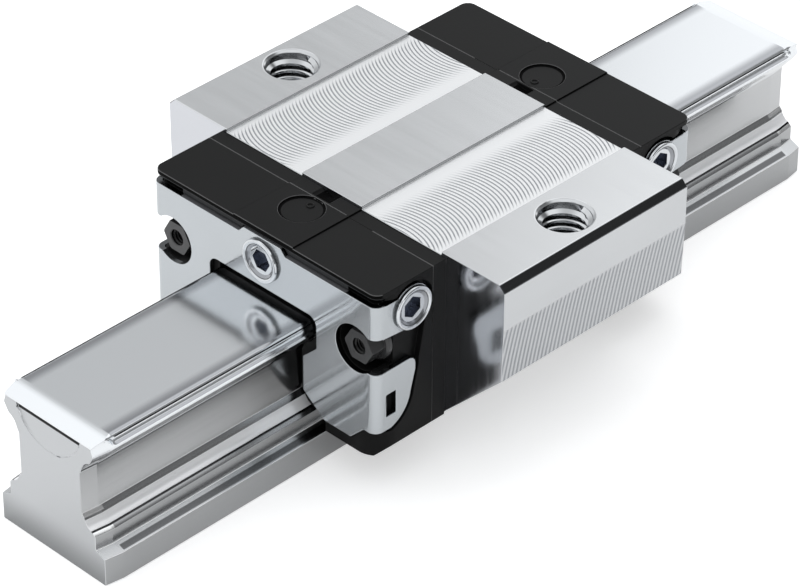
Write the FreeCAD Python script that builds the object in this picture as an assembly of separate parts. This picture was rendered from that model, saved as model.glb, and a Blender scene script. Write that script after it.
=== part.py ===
"""Flanged ball runner block on a short guide rail, a profiled linear ball guide of size 25.

Millimetres. X runs along the rail, Y across it and Z up. The origin is the middle of the
rail's bottom face, and the block stands at the middle of the rail. The front is the -X end.
"""
import FreeCAD, Part
import math
import os
from FreeCAD import Vector

os.makedirs("parts", exist_ok=True)

# Guide rail: section, length and mounting holes
RAIL_LENGTH = 150.0
RAIL_HEIGHT = 24.0
FOOT_WIDTH = 23.0
FOOT_SIDE_HEIGHT = 4.6
LEDGE_WIDTH = 19.1
LEDGE_LOW = 5.4
WAIST_WIDTH = 13.5
HEAD_WIDTH = 19.8
HEAD_TOP_WIDTH = 19.0
HEAD_WIDEST_HEIGHT = 21.9
HEAD_EDGE_DEPTH = 1.1
END_BEVEL_LENGTH = 3.0
END_BEVEL_DROP = 0.8
END_RELIEF = 0.5
END_RECESS_R = 7.0
END_RECESS_HEIGHT = 6.0
END_RECESS_DEPTH = 0.45
RAIL_HOLE_PITCH = 60.0
RAIL_HOLE_COUNT = 3
RAIL_HOLE_D = 7.0
RAIL_COUNTERBORE_D = 11.0
RAIL_COUNTERBORE_DEPTH = 9.0
STRIP_THICKNESS = 0.25

# Balls and their tracks
BALL_D = 4.762
TRACK_CLEARANCE = 0.1
UPPER_BALL_Y = 9.6
UPPER_BALL_Z = 18.0
LOWER_BALL_Y = 9.7
LOWER_BALL_Z = 10.6
UPPER_RETURN_Y = 15.2
UPPER_RETURN_Z = 21.0
LOWER_RETURN_Y = 17.2
LOWER_RETURN_Z = 11.4
RAIL_TRACK_HALF_ANGLE = 30.0
BLOCK_TRACK_HALF_ANGLE = 30.0
BALL_SPACING_MIN = 4.82
CHANNEL_CLEARANCE = 0.17
TUBE_WALL = 0.3
TUBE_CLEARANCE = 0.05

# Steel body of the runner block
BODY_LENGTH = 38.6
BLOCK_WIDTH = 70.0
BLOCK_TOP = 36.0
BODY_BOTTOM = 6.1
REFERENCE_EDGE_HEIGHT = 7.5
FLANGE_EDGE_LOW = 19.25
FLANGE_DRAFT = 0.35
FLANGE_CHAMFER = 1.1
CENTRE_STRIP_WIDTH = 12.5
BAND_OUTER_WIDTH = 44.8
BAND_DEPTH = 0.5
MOUNT_HOLE_SPACING = 57.0
MOUNT_THREAD_D = 8.0
MOUNT_COUNTERSINK_D = 8.8
MOUNT_THREAD_LENGTH = 9.3
MOUNT_COUNTERBORE_D = 12.0

# Cavity over the rail, and what lines it
CAVITY_ROOF = 25.6
CAVITY_WIDTH = 22.6
CAVITY_SHELF = 20.8
INSERT_BACK_Y = 13.25
INSERT_NOSE_Y = 10.24
INSERT_CHAMFER = 0.5
INSERT_TOP = 18.1
INSERT_LOW = 10.4
SKIRT_Y = 12.8
RETAINER_TOP = 24.4
RETAINER_GAP = 0.6
MIDDLE_RETAINER_Y = 7.6
LOWER_RETAINER_BOTTOM = 7.5
SIDE_SEAL_BOTTOM = 6.2
SEAL_LIP_GAP = 0.35

# End caps and return guides
GUIDE_THICKNESS = 2.6
CAP_LENGTH = 11.3
CAP_WIDTH = 46.8
CAP_TOP = 35.5
CAP_SHOULDER_TOP = 35.3
CAP_STRIP_WIDTH = 12.4
CAP_CORNER_R = 3.8
LIP_CORNER_R = 1.6
CAP_BOTTOM_CHAMFER = 1.5
LIP_UNDERSIDE = 34.5
LIP_OVERHANG = 0.3
CORNER_RECESS_Y = 17.3
CORNER_RECESS_DEPTH = 2.0
CAP_DIMPLE_SETBACK = 7.85
CAP_DIMPLE_R = 3.5
CAP_DIMPLE_DEPTH = 0.3
TROUGH_WIDTH = 3.8
TROUGH_DEPTH = 0.8
TROUGH_WALL = 0.35

# Opening over the rail in the caps, guides and plates
OPENING_TOP = 25.65
OPENING_WIDTH = 22.4
OPENING_CORNER_R = 1.6
OPENING_SHELF = 20.3
NECK_WIDTH = 16.8
NECK_HIGH = 17.6
NECK_LOW = 11.55
MOUTH_WIDTH = 25.4
MOUTH_HIGH = 8.2

# End plates
PLATE_PROUD = 0.3
PLATE_THICKNESS = 1.0
PLATE_WIDTH = 46.8
PLATE_BEND_R = 1.5
PLATE_TOP = 33.3
HUMP_TOP = 34.3
HUMP_WIDTH = 7.8
HUMP_SLOPE = 0.9
PLATE_FOOT_WIDTH = 36.4
PLATE_SIDE_LOW = 10.9
SCREW_WINDOW_R = 3.95
WINDOW_SLOT_LOW = 21.4
WINDOW_SLOT_HIGH = 27.5
LOWER_TAB_REACH = 8.15
LOWER_TAB_CORNER_R = 1.3
LOWER_TAB_STRAIGHT = 2.1
LOWER_TAB_TAPER = 0.95
LOWER_TAB_TAPER_LENGTH = 5.8
LOWER_TAB_FOOT_REACH = 3.2
LOWER_TAB_SWEEP = 0.65
UPPER_TAB_NECK = 5.1
UPPER_TAB_DIP = 0.25
UPPER_TAB_RIM = 0.1
TAB_SLOT_SETBACK = 3.2
TAB_SLOT_Z = 15.25
TAB_SLOT_LENGTH = 3.9
TAB_SLOT_WIDTH = 1.95
PLATE_POCKET_GAP = 0.12
TAB_POCKET_GAP = 0.6
SIDE_POCKET_TOP_REACH = 10.3
SIDE_POCKET_LOW_REACH = 8.75

# Cap screws and lubrication port plugs
CAP_SCREW_Y = 19.15
CAP_SCREW_Z = 24.5
CAP_SCREW_AF = 5.0
CAP_SCREW_RECESS = 0.75
CAP_SCREW_HEX_LENGTH = 2.6
CAP_SCREW_FLANGE_D = 6.8
CAP_SCREW_FLANGE_T = 1.1
CAP_SCREW_SHANK_D = 3.0
CAP_SCREW_REACH = 9.0
CAP_SCREW_BORE_D = 2.5
CAP_SCREW_BORE_DEPTH = 3.2
SCREW_CLEARANCE = 0.1
PORT_Z = 30.4
SIDE_PORT_SETBACK = 7.3
PLUG_COLLAR_D = 7.1
PLUG_COLLAR_T = 0.7
PLUG_DISH_D = 5.4
PLUG_DISH_DEPTH = 0.55
PLUG_SOCKET_AF = 3.0
PLUG_SOCKET_DEPTH = 2.2
PLUG_SHANK_D = 5.0
PLUG_SHANK_LENGTH = 5.0
PLUG_CLEARANCE = 0.05
PORT_DEPTH = 8.0

# End seals
SEAL_THICKNESS = 1.3
SEAL_WIDTH = 29.0
SEAL_TOP = 27.4
SEAL_BOTTOM = 8.5
SEAL_RAIL_GAP = 0.35

BODY_END = BODY_LENGTH / 2
GUIDE_END = BODY_END + GUIDE_THICKNESS
CAP_END = GUIDE_END + CAP_LENGTH
PLATE_FACE_X = CAP_END + PLATE_PROUD
PLATE_BACK_X = PLATE_FACE_X - PLATE_THICKNESS
PLATE_SIDE_Y = PLATE_WIDTH / 2
SIDE_PORT_X = PLATE_FACE_X - SIDE_PORT_SETBACK
CAP_SCREW_FACE_X = PLATE_FACE_X - CAP_SCREW_RECESS
CAP_SCREW_HEX_BACK = CAP_SCREW_FACE_X - CAP_SCREW_HEX_LENGTH
CAP_SCREW_SEAT_X = CAP_SCREW_HEX_BACK - CAP_SCREW_FLANGE_T
BALL_R = BALL_D / 2
TRACK_R = BALL_R + TRACK_CLEARANCE
CHANNEL_R = BALL_R + CHANNEL_CLEARANCE
RETURN_BORE_R = CHANNEL_R + TUBE_WALL + TUBE_CLEARANCE
SIDES = {"left": 1, "right": -1}
ENDS = {"front": -1, "rear": 1}
ROWS = {
    "upper": ((UPPER_BALL_Y, UPPER_BALL_Z), (UPPER_RETURN_Y, UPPER_RETURN_Z)),
    "lower": ((LOWER_BALL_Y, LOWER_BALL_Z), (LOWER_RETURN_Y, LOWER_RETURN_Z)),
}


def on_circle(centre, radius, degrees):
    """A point (y, z) on a circle; the angle is measured from +Y towards +Z."""
    angle = math.radians(degrees)
    return (centre[0] + radius * math.cos(angle), centre[1] + radius * math.sin(angle))


def path_edges(items, place):
    """Edges along a path. An item is a point, or (middle, end) for an arc from the last point."""
    edges = []
    here = items[0]
    for item in items[1:]:
        if isinstance(item[0], tuple):
            middle, end = item
            edges.append(Part.Arc(place(here), place(middle), place(end)).toShape())
        else:
            end = item
            edges.append(Part.LineSegment(place(here), place(end)).toShape())
        here = end
    return edges


def closed_wire(edges):
    return Part.Wire(Part.sortEdges(edges)[0])


def across(x):
    """Places a (y, z) point in the plane across the rail at x."""
    return lambda point: Vector(x, point[0], point[1])


def symmetric_wire(half, x):
    """A closed outline across the rail, from its half at +Y that starts and ends on Y = 0."""
    edges = path_edges(half, across(x))
    mirrored = path_edges(half, lambda point: Vector(x, -point[0], point[1]))
    return closed_wire(edges + mirrored)


def symmetric_prism(half, start, end):
    face = Part.Face(symmetric_wire(half, start))
    return face.extrude(Vector(end - start, 0, 0))


def side_strip(outline, length, side):
    """A bar of constant section along the rail, drawn at +Y and mirrored for the other side."""
    edges = path_edges(outline + [outline[0]], across(-length / 2))
    bar = Part.Face(closed_wire(edges)).extrude(Vector(length, 0, 0))
    return bar if side > 0 else bar.mirror(Vector(), Vector(0, 1, 0))


def box(low, high):
    size = Vector(*high) - Vector(*low)
    return Part.makeBox(size.x, size.y, size.z, Vector(*low))


def slab(x1, x2, half_width, z1, z2):
    """A box that is centred on Y = 0."""
    return box((x1, -half_width, z1), (x2, half_width, z2))


def rod(radius, start, end):
    axis = Vector(*end) - Vector(*start)
    return Part.makeCylinder(radius, axis.Length, Vector(*start), axis)


def hexagon(across_flats, depth, base, axis, first_corner):
    """A hexagonal prism on an axis; first_corner is the direction of one of its corners."""
    corner_r = across_flats / math.sqrt(3)
    turn = FreeCAD.Rotation(axis, 60)
    arm = Vector(first_corner).normalize() * corner_r
    corners = []
    for _ in range(6):
        corners.append(base + arm)
        arm = turn.multVec(arm)
    return Part.Face(Part.makePolygon(corners + corners[:1])).extrude(axis * depth)


def both_sides(shape):
    return [shape, shape.mirror(Vector(), Vector(0, 1, 0))]


def at_end(shape, end):
    """Pieces of an end are drawn at the +X end and mirrored for the front."""
    return shape if end > 0 else shape.mirror(Vector(), Vector(1, 0, 0))


def rail_half(relief=0.0):
    """Half of the rail's outline, narrowed by the relief as its ends are."""
    narrow = 1 - 2 * relief / FOOT_WIDTH
    upper, lower = ROWS["upper"][0], ROWS["lower"][0]

    def arc(centre, contact):
        angles = (contact - RAIL_TRACK_HALF_ANGLE, contact, contact + RAIL_TRACK_HALF_ANGLE)
        return [on_circle(centre, TRACK_R, angle) for angle in angles]

    lower_track = arc(lower, 225)
    upper_track = arc(upper, 135)
    points = [
        (0, 0),
        (FOOT_WIDTH / 2, 0),
        (FOOT_WIDTH / 2, FOOT_SIDE_HEIGHT),
        (LEDGE_WIDTH / 2, LEDGE_LOW),
        (LEDGE_WIDTH / 2, lower_track[2][1] - (LEDGE_WIDTH / 2 - lower_track[2][0])),
        lower_track[2],
        (lower_track[1], lower_track[0]),
        (WAIST_WIDTH / 2, lower_track[0][1] + (lower_track[0][0] - WAIST_WIDTH / 2)),
        (WAIST_WIDTH / 2, upper_track[2][1] - 2 * (upper_track[2][0] - WAIST_WIDTH / 2)),
        upper_track[2],
        (upper_track[1], upper_track[0]),
        (HEAD_WIDTH / 2, HEAD_WIDEST_HEIGHT),
        (HEAD_TOP_WIDTH / 2, RAIL_HEIGHT - HEAD_EDGE_DEPTH),
        (HEAD_TOP_WIDTH / 2, RAIL_HEIGHT),
        (0, RAIL_HEIGHT),
    ]

    def squeeze(item):
        if isinstance(item[0], tuple):
            return (squeeze(item[0]), squeeze(item[1]))
        return (item[0] * narrow, item[1])

    return [squeeze(item) for item in points]


def end_recess(way):
    """Shallow half-round hollow in a rail end, deepest at the top, under the folded strip."""
    end = way * RAIL_LENGTH / 2
    low = RAIL_HEIGHT - END_RECESS_HEIGHT
    corners = [
        Vector(end, -FOOT_WIDTH, low),
        Vector(end - way * END_RECESS_DEPTH, -FOOT_WIDTH, RAIL_HEIGHT),
        Vector(end + way * END_RECESS_DEPTH, -FOOT_WIDTH, RAIL_HEIGHT),
        Vector(end + way * END_RECESS_DEPTH, -FOOT_WIDTH, low),
    ]
    wedge = Part.Face(Part.makePolygon(corners + corners[:1])).extrude(Vector(0, 2 * FOOT_WIDTH, 0))
    axis_z = low + END_RECESS_R
    near, far = end - END_RECESS_R, end + END_RECESS_R
    return wedge.common(rod(END_RECESS_R, (near, 0, axis_z), (far, 0, axis_z)))


def guide_rail():
    """Ground rail with relieved, bevelled ends and counterbored holes for its bolts."""
    end = RAIL_LENGTH / 2
    full = end - END_BEVEL_LENGTH
    rail = symmetric_prism(rail_half(), -full, full)
    for way in (-1, 1):
        wires = [symmetric_wire(rail_half(), way * full), symmetric_wire(rail_half(END_RELIEF), way * end)]
        lead_in = Part.makeLoft(wires, True, True)
        bevel = Part.makePolygon([
            Vector(way * full, -FOOT_WIDTH, RAIL_HEIGHT),
            Vector(way * end, -FOOT_WIDTH, RAIL_HEIGHT - END_BEVEL_DROP),
            Vector(way * end, -FOOT_WIDTH, RAIL_HEIGHT + END_BEVEL_DROP),
            Vector(way * full, -FOOT_WIDTH, RAIL_HEIGHT),
        ])
        wedge = Part.Face(bevel).extrude(Vector(0, 2 * FOOT_WIDTH, 0))
        rail = rail.fuse(lead_in.cut(wedge).cut(end_recess(way)))
    first = -RAIL_HOLE_PITCH * (RAIL_HOLE_COUNT - 1) / 2
    for index in range(RAIL_HOLE_COUNT):
        x = first + index * RAIL_HOLE_PITCH
        rail = rail.cut(rod(RAIL_HOLE_D / 2, (x, 0, 0), (x, 0, RAIL_HEIGHT)))
        floor = RAIL_HEIGHT - RAIL_COUNTERBORE_DEPTH
        rail = rail.cut(rod(RAIL_COUNTERBORE_D / 2, (x, 0, floor), (x, 0, RAIL_HEIGHT)))
    return rail


def rail_cover_strip():
    """Spring steel strip that snaps over the rail head and folds down over its end bevels."""
    end = RAIL_LENGTH / 2
    full = end - END_BEVEL_LENGTH
    low = RAIL_HEIGHT
    high = RAIL_HEIGHT + STRIP_THICKNESS
    half_width = HEAD_TOP_WIDTH / 2 + STRIP_THICKNESS
    end_half_width = half_width - END_RELIEF
    side_view = [(-end, low - END_BEVEL_DROP), (-full, low), (full, low), (end, low - END_BEVEL_DROP),
                 (end, high - END_BEVEL_DROP), (full, high), (-full, high), (-end, high - END_BEVEL_DROP)]
    corners = [Vector(x, -half_width, z) for x, z in side_view + side_view[:1]]
    sheet = Part.Face(Part.makePolygon(corners)).extrude(Vector(0, 2 * half_width, 0))
    plan = [(-end, end_half_width), (-full, half_width), (full, half_width), (end, end_half_width),
            (end, -end_half_width), (full, -half_width), (-full, -half_width), (-end, -end_half_width)]
    corners = [Vector(x, y, 0) for x, y in plan + plan[:1]]
    strip = sheet.common(Part.Face(Part.makePolygon(corners)).extrude(Vector(0, 0, 2 * RAIL_HEIGHT)))
    lip = box((-full, HEAD_TOP_WIDTH / 2, low - HEAD_EDGE_DEPTH), (full, half_width, low))
    for side in both_sides(lip):
        strip = strip.fuse(side)
    return strip.removeSplitter()


def block_track(row, contact):
    centre = ROWS[row][0]
    angles = (contact - BLOCK_TRACK_HALF_ANGLE, contact, contact + BLOCK_TRACK_HALF_ANGLE)
    return [on_circle(centre, TRACK_R, angle) for angle in angles]


def insert_outline():
    """Hardened bar with the two tracks that carry the load, pressed into the steel body."""
    upper = block_track("upper", 315)
    lower = block_track("lower", 45)
    shoulder_y = INSERT_BACK_Y - INSERT_CHAMFER
    return [
        (INSERT_NOSE_Y, upper[0][1]),
        upper[0],
        (upper[1], upper[2]),
        (shoulder_y, INSERT_TOP),
        (INSERT_BACK_Y, INSERT_TOP - INSERT_CHAMFER),
        (INSERT_BACK_Y, INSERT_LOW + INSERT_CHAMFER),
        (shoulder_y, INSERT_LOW),
        lower[0],
        (lower[1], lower[2]),
        (INSERT_NOSE_Y, lower[2][1]),
    ]


def cavity_half():
    """Half of the space in the steel body that holds the rail head, tracks and retainers."""
    below = BODY_BOTTOM - 1
    shoulder_y = INSERT_BACK_Y - INSERT_CHAMFER
    return [
        (0, CAVITY_ROOF),
        (CAVITY_WIDTH / 2, CAVITY_ROOF),
        (CAVITY_WIDTH / 2, CAVITY_SHELF),
        (shoulder_y, INSERT_TOP),
        (INSERT_BACK_Y, INSERT_TOP - INSERT_CHAMFER),
        (INSERT_BACK_Y, INSERT_LOW + INSERT_CHAMFER),
        (SKIRT_Y, INSERT_LOW),
        (SKIRT_Y, below),
        (0, below),
    ]


def body_half():
    """Half of the steel body's outline across the rail."""
    edge = BLOCK_WIDTH / 2
    drafted = edge - FLANGE_DRAFT
    return [
        (0, BLOCK_TOP),
        (CENTRE_STRIP_WIDTH / 2, BLOCK_TOP),
        (CENTRE_STRIP_WIDTH / 2, BLOCK_TOP - BAND_DEPTH),
        (BAND_OUTER_WIDTH / 2, BLOCK_TOP - BAND_DEPTH),
        (BAND_OUTER_WIDTH / 2, BLOCK_TOP),
        (edge - FLANGE_CHAMFER, BLOCK_TOP),
        (edge, BLOCK_TOP - FLANGE_CHAMFER),
        (edge, BLOCK_TOP - REFERENCE_EDGE_HEIGHT),
        (drafted, FLANGE_EDGE_LOW),
        (drafted - (FLANGE_EDGE_LOW - BODY_BOTTOM), BODY_BOTTOM),
        (0, BODY_BOTTOM),
    ]


def steel_body():
    body = symmetric_prism(body_half(), -BODY_END, BODY_END)
    body = body.cut(symmetric_prism(cavity_half(), -BODY_END, BODY_END))
    thread_low = BLOCK_TOP - MOUNT_THREAD_LENGTH
    sink_depth = (MOUNT_COUNTERSINK_D - MOUNT_THREAD_D) / 2
    for side in (-1, 1):
        y = side * MOUNT_HOLE_SPACING / 2
        body = body.cut(rod(MOUNT_THREAD_D / 2, (0, y, thread_low), (0, y, BLOCK_TOP)))
        body = body.cut(rod(MOUNT_COUNTERBORE_D / 2, (0, y, BODY_BOTTOM), (0, y, thread_low)))
        sink = Part.makeCone(MOUNT_THREAD_D / 2, MOUNT_COUNTERSINK_D / 2, sink_depth,
                             Vector(0, y, BLOCK_TOP - sink_depth))
        body = body.cut(sink)
        for row in ROWS.values():
            y, z = side * row[1][0], row[1][1]
            body = body.cut(rod(RETURN_BORE_R, (-BODY_END, y, z), (BODY_END, y, z)))
        y = side * CAP_SCREW_Y
        for end in (-1, 1):
            start = (end * (BODY_END - CAP_SCREW_REACH - 1), y, CAP_SCREW_Z)
            body = body.cut(rod(CAP_SCREW_SHANK_D / 2, start, (end * BODY_END, y, CAP_SCREW_Z)))
    return body


def return_tube(row, side):
    y, z = ROWS[row][1]
    outer = rod(CHANNEL_R + TUBE_WALL, (-BODY_END, side * y, z), (BODY_END, side * y, z))
    return outer.cut(rod(CHANNEL_R, (-BODY_END, side * y, z), (BODY_END, side * y, z)))


def upper_retainer_outline():
    """Plastic rail that keeps the upper balls in when the block is off the guide rail."""
    centre = ROWS["upper"][0]
    hold = [on_circle(centre, CHANNEL_R, angle) for angle in (75, 52, 30)]
    wall_y = CAVITY_WIDTH / 2
    slope = (CAVITY_SHELF - hold[2][1]) / (CAVITY_SHELF - INSERT_TOP)
    wall_at_end = wall_y + slope * (INSERT_BACK_Y - INSERT_CHAMFER - wall_y)
    inner_y = HEAD_WIDTH / 2 + RETAINER_GAP
    return [
        hold[0],
        (hold[1], hold[2]),
        (wall_at_end, hold[2][1]),
        (wall_y, CAVITY_SHELF),
        (wall_y, RETAINER_TOP),
        (inner_y, RETAINER_TOP),
        (inner_y, HEAD_WIDEST_HEIGHT - RETAINER_GAP),
    ]


def middle_retainer_outline():
    """Plastic bar in the rail's waist, between the two rows."""
    upper = [on_circle(ROWS["upper"][0], CHANNEL_R, angle) for angle in (285, 255, 225)]
    lower = [on_circle(ROWS["lower"][0], CHANNEL_R, angle) for angle in (135, 105, 75)]
    return [
        (INSERT_NOSE_Y, upper[0][1]),
        (upper[1], upper[2]),
        (MIDDLE_RETAINER_Y, upper[2][1]),
        (MIDDLE_RETAINER_Y, lower[0][1]),
        lower[0],
        (lower[1], (INSERT_NOSE_Y, lower[2][1])),
    ]


def lower_retainer_outline():
    """Plastic rail under the lower row, held by the skirt of the steel body."""
    centre = ROWS["lower"][0]
    hold = [on_circle(centre, CHANNEL_R, angle) for angle in (330, 308, 285)]
    return [
        (SKIRT_Y, hold[0][1]),
        hold[0],
        (hold[1], hold[2]),
        (hold[2][0], LOWER_RETAINER_BOTTOM),
        (SKIRT_Y, LOWER_RETAINER_BOTTOM),
    ]


def side_seal_outline():
    """Rubber seal along the block, with its lip near the ledge of the rail foot."""
    lip_y = LEDGE_WIDTH / 2 + SEAL_LIP_GAP
    lip_z = (SIDE_SEAL_BOTTOM + LOWER_RETAINER_BOTTOM) / 2
    heel_y = lip_y + (SKIRT_Y - lip_y) / 4
    return [
        (SKIRT_Y, LOWER_RETAINER_BOTTOM),
        (heel_y, LOWER_RETAINER_BOTTOM),
        (lip_y, lip_z),
        (heel_y, SIDE_SEAL_BOTTOM),
        (SKIRT_Y, SIDE_SEAL_BOTTOM),
    ]


def faceted_ball():
    """Ball drawn with 26 flat facets whose corners lie on its real diameter."""
    step = 1 + math.sqrt(2)
    scale = BALL_R / math.sqrt(2 + step * step)
    corners = []
    for long_axis in range(3):
        for signs in range(8):
            corner = [scale, scale, scale]
            corner[long_axis] *= step
            for axis in range(3):
                if signs >> axis & 1:
                    corner[axis] = -corner[axis]
            corners.append(Vector(*corner))
    faces = []
    for x in (-1, 0, 1):
        for y in (-1, 0, 1):
            for z in (-1, 0, 1):
                normal = Vector(x, y, z)
                if normal.Length == 0:
                    continue
                reach = max(corner.dot(normal) for corner in corners)
                rim = [corner for corner in corners if corner.dot(normal) > reach - BALL_R / 100]
                middle = sum(rim, Vector()) * (1 / len(rim))
                first = (rim[0] - middle).normalize()
                second = normal.cross(first).normalize()
                rim.sort(key=lambda c: math.atan2((c - middle).dot(second), (c - middle).dot(first)))
                faces.append(Part.Face(Part.makePolygon(rim + rim[:1])))
    return Part.Solid(Part.Shell(faces))


def ball_circuit(row, side):
    """One endless row of balls: loaded run, half turn, return run and half turn."""
    loaded, back = ROWS[row]
    start = Vector(0, side * loaded[0], loaded[1])
    across_loop = Vector(0, side * back[0], back[1]) - start
    turn_r = across_loop.Length / 2
    outward = Vector(across_loop).normalize()
    length = 2 * BODY_LENGTH + 2 * math.pi * turn_r
    count = int(length / BALL_SPACING_MIN)
    ball = faceted_ball()
    balls = []
    for index in range(count):
        along = index * length / count
        if along < BODY_LENGTH:
            place = start + Vector(along - BODY_END, 0, 0)
        elif along < BODY_LENGTH + math.pi * turn_r:
            angle = (along - BODY_LENGTH) / turn_r
            place = start + outward * (turn_r * (1 - math.cos(angle)))
            place += Vector(BODY_END + turn_r * math.sin(angle), 0, 0)
        elif along < 2 * BODY_LENGTH + math.pi * turn_r:
            run = along - BODY_LENGTH - math.pi * turn_r
            place = start + across_loop + Vector(BODY_END - run, 0, 0)
        else:
            angle = (along - 2 * BODY_LENGTH - math.pi * turn_r) / turn_r
            place = start + outward * (turn_r * (1 + math.cos(angle)))
            place -= Vector(BODY_END + turn_r * math.sin(angle), 0, 0)
        copy = ball.copy()
        copy.translate(place)
        balls.append(copy)
    return Part.makeCompound(balls)


def turn_pockets():
    """Pockets that turn each row of balls over at the +X end, each round a post."""
    pockets = []
    for side in (-1, 1):
        for loaded, back in ROWS.values():
            start = Vector(BODY_END, side * loaded[0], loaded[1])
            span = Vector(BODY_END, side * back[0], back[1]) - start
            axis = span.cross(Vector(1, 0, 0)).normalize()
            base = start + span * 0.5 - axis * CHANNEL_R
            wall_r = span.Length / 2 + CHANNEL_R
            post_r = span.Length / 2 - CHANNEL_R
            pocket = Part.makeCylinder(wall_r, 2 * CHANNEL_R, base, axis)
            pockets.append(pocket.cut(Part.makeCylinder(post_r, 2 * CHANNEL_R, base, axis)))
    return pockets


def opening_half(bottom):
    """Half of the opening over the rail in the guides, caps and plates."""
    half = OPENING_WIDTH / 2
    corner = (half - OPENING_CORNER_R, OPENING_TOP - OPENING_CORNER_R)
    return [
        (0, OPENING_TOP),
        (corner[0], OPENING_TOP),
        (on_circle(corner, OPENING_CORNER_R, 45), (half, corner[1])),
        (half, OPENING_SHELF),
        (NECK_WIDTH / 2, NECK_HIGH),
        (NECK_WIDTH / 2, NECK_LOW),
        (MOUTH_WIDTH / 2, MOUTH_HIGH),
        (MOUTH_WIDTH / 2, bottom),
        (0, bottom),
    ]


def cap_half():
    """Half of the outline that the end caps and return guides share."""
    half = CAP_WIDTH / 2
    return [
        (0, CAP_TOP),
        (CAP_STRIP_WIDTH / 2, CAP_TOP),
        (CAP_STRIP_WIDTH / 2, CAP_SHOULDER_TOP),
        (half, CAP_SHOULDER_TOP),
        (half, BODY_BOTTOM + CAP_BOTTOM_CHAMFER),
        (half - CAP_BOTTOM_CHAMFER, BODY_BOTTOM),
        (0, BODY_BOTTOM),
    ]


def cap_screw_holes():
    holes = []
    radius = CAP_SCREW_SHANK_D / 2 + SCREW_CLEARANCE
    for side in (-1, 1):
        y = side * CAP_SCREW_Y
        holes.append(rod(radius, (BODY_END, y, CAP_SCREW_Z), (CAP_END, y, CAP_SCREW_Z)))
    return holes


def return_guide(end):
    """Thin plastic slice against the steel, with the inner half of the ball turns."""
    guide = symmetric_prism(cap_half(), BODY_END, GUIDE_END)
    guide = guide.cut(symmetric_prism(opening_half(BODY_BOTTOM - 1), BODY_END, GUIDE_END))
    for tool in turn_pockets() + cap_screw_holes():
        guide = guide.cut(tool)
    trough_r = (TROUGH_WIDTH ** 2 / 4 + TROUGH_DEPTH ** 2) / (2 * TROUGH_DEPTH)
    axis_z = CAP_TOP - TROUGH_DEPTH + trough_r
    guide = guide.cut(rod(trough_r, (BODY_END, 0, axis_z), (GUIDE_END - TROUGH_WALL, 0, axis_z)))
    return at_end(guide, end)


def plate_front_half(grow=0.0):
    """Half of the plate's front outline, up to the outer face of its side tab."""
    half = PLATE_WIDTH / 2 + grow
    hump = HUMP_WIDTH / 2 + grow
    foot = PLATE_FOOT_WIDTH / 2
    rise = PLATE_SIDE_LOW - MOUTH_HIGH
    return [
        (0, HUMP_TOP + grow),
        (hump, HUMP_TOP + grow),
        (hump + HUMP_SLOPE, PLATE_TOP + grow),
        (half, PLATE_TOP + grow),
        (half, PLATE_SIDE_LOW - grow),
        (foot + rise, PLATE_SIDE_LOW - grow),
        (foot, MOUTH_HIGH - grow),
        (0, MOUTH_HIGH - grow),
    ]


def upper_tab_wire(grow, y):
    """Side outline of the upper tab: a tongue that ends in a ring round the side port."""
    ring_r = PLUG_COLLAR_D / 2 + UPPER_TAB_RIM + grow
    centre = (SIDE_PORT_X, PORT_Z)
    top = PLATE_TOP + grow
    low = WINDOW_SLOT_HIGH - grow
    front = PLATE_FACE_X + grow
    dip_end = SIDE_PORT_X + UPPER_TAB_NECK
    dip_start = (dip_end + PLATE_FACE_X - PLATE_BEND_R) / 2
    items = [
        (front, top),
        (dip_start, top - UPPER_TAB_DIP / 2),
        (dip_end, top - UPPER_TAB_DIP),
        on_circle(centre, ring_r, 45),
        (on_circle(centre, ring_r, 180), on_circle(centre, ring_r, 290)),
        (front, low),
        (front, top),
    ]
    return closed_wire(path_edges(items, lambda point: Vector(point[0], y, point[1])))


def lower_tab_wire(grow, y):
    """Side outline of the lower tab: rounded at its upper corner and swept below."""
    top = WINDOW_SLOT_LOW + grow
    low = PLATE_SIDE_LOW - grow
    front = PLATE_FACE_X + grow
    tip = PLATE_FACE_X - LOWER_TAB_REACH - grow
    radius = LOWER_TAB_CORNER_R
    corner = (tip + radius, top - radius)
    straight_end = corner[1] - LOWER_TAB_STRAIGHT / 2
    taper_end = (tip + LOWER_TAB_TAPER, WINDOW_SLOT_LOW - LOWER_TAB_TAPER_LENGTH)
    foot = (PLATE_FACE_X - LOWER_TAB_FOOT_REACH, low)
    fall = 1 - LOWER_TAB_SWEEP
    sweep = (taper_end[0] + (foot[0] - taper_end[0]) * fall, low + (taper_end[1] - low) * fall)
    items = [
        (front, top),
        (corner[0], top),
        (on_circle(corner, radius, 135), (tip, corner[1])),
        (tip, straight_end),
        taper_end,
        (sweep, foot),
        (front, low),
        (front, top),
    ]
    return closed_wire(path_edges(items, lambda point: Vector(point[0], y, point[1])))


def side_pocket_wire(y):
    """Side outline of the cap's hollow between the two tabs, behind the screw window."""
    low = WINDOW_SLOT_LOW - PLATE_THICKNESS
    high = WINDOW_SLOT_HIGH + PLATE_THICKNESS
    outline = [(PLATE_FACE_X, low), (PLATE_FACE_X - SIDE_POCKET_LOW_REACH, low),
               (PLATE_FACE_X - SIDE_POCKET_TOP_REACH, high), (PLATE_FACE_X, high)]
    return Part.makePolygon([Vector(x, y, z) for x, z in outline + outline[:1]])


def side_block(wire, depth):
    """Extrudes a side outline inwards from +Y, and the same on the other side."""
    return both_sides(Part.Face(wire).extrude(Vector(0, -depth, 0)))


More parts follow.
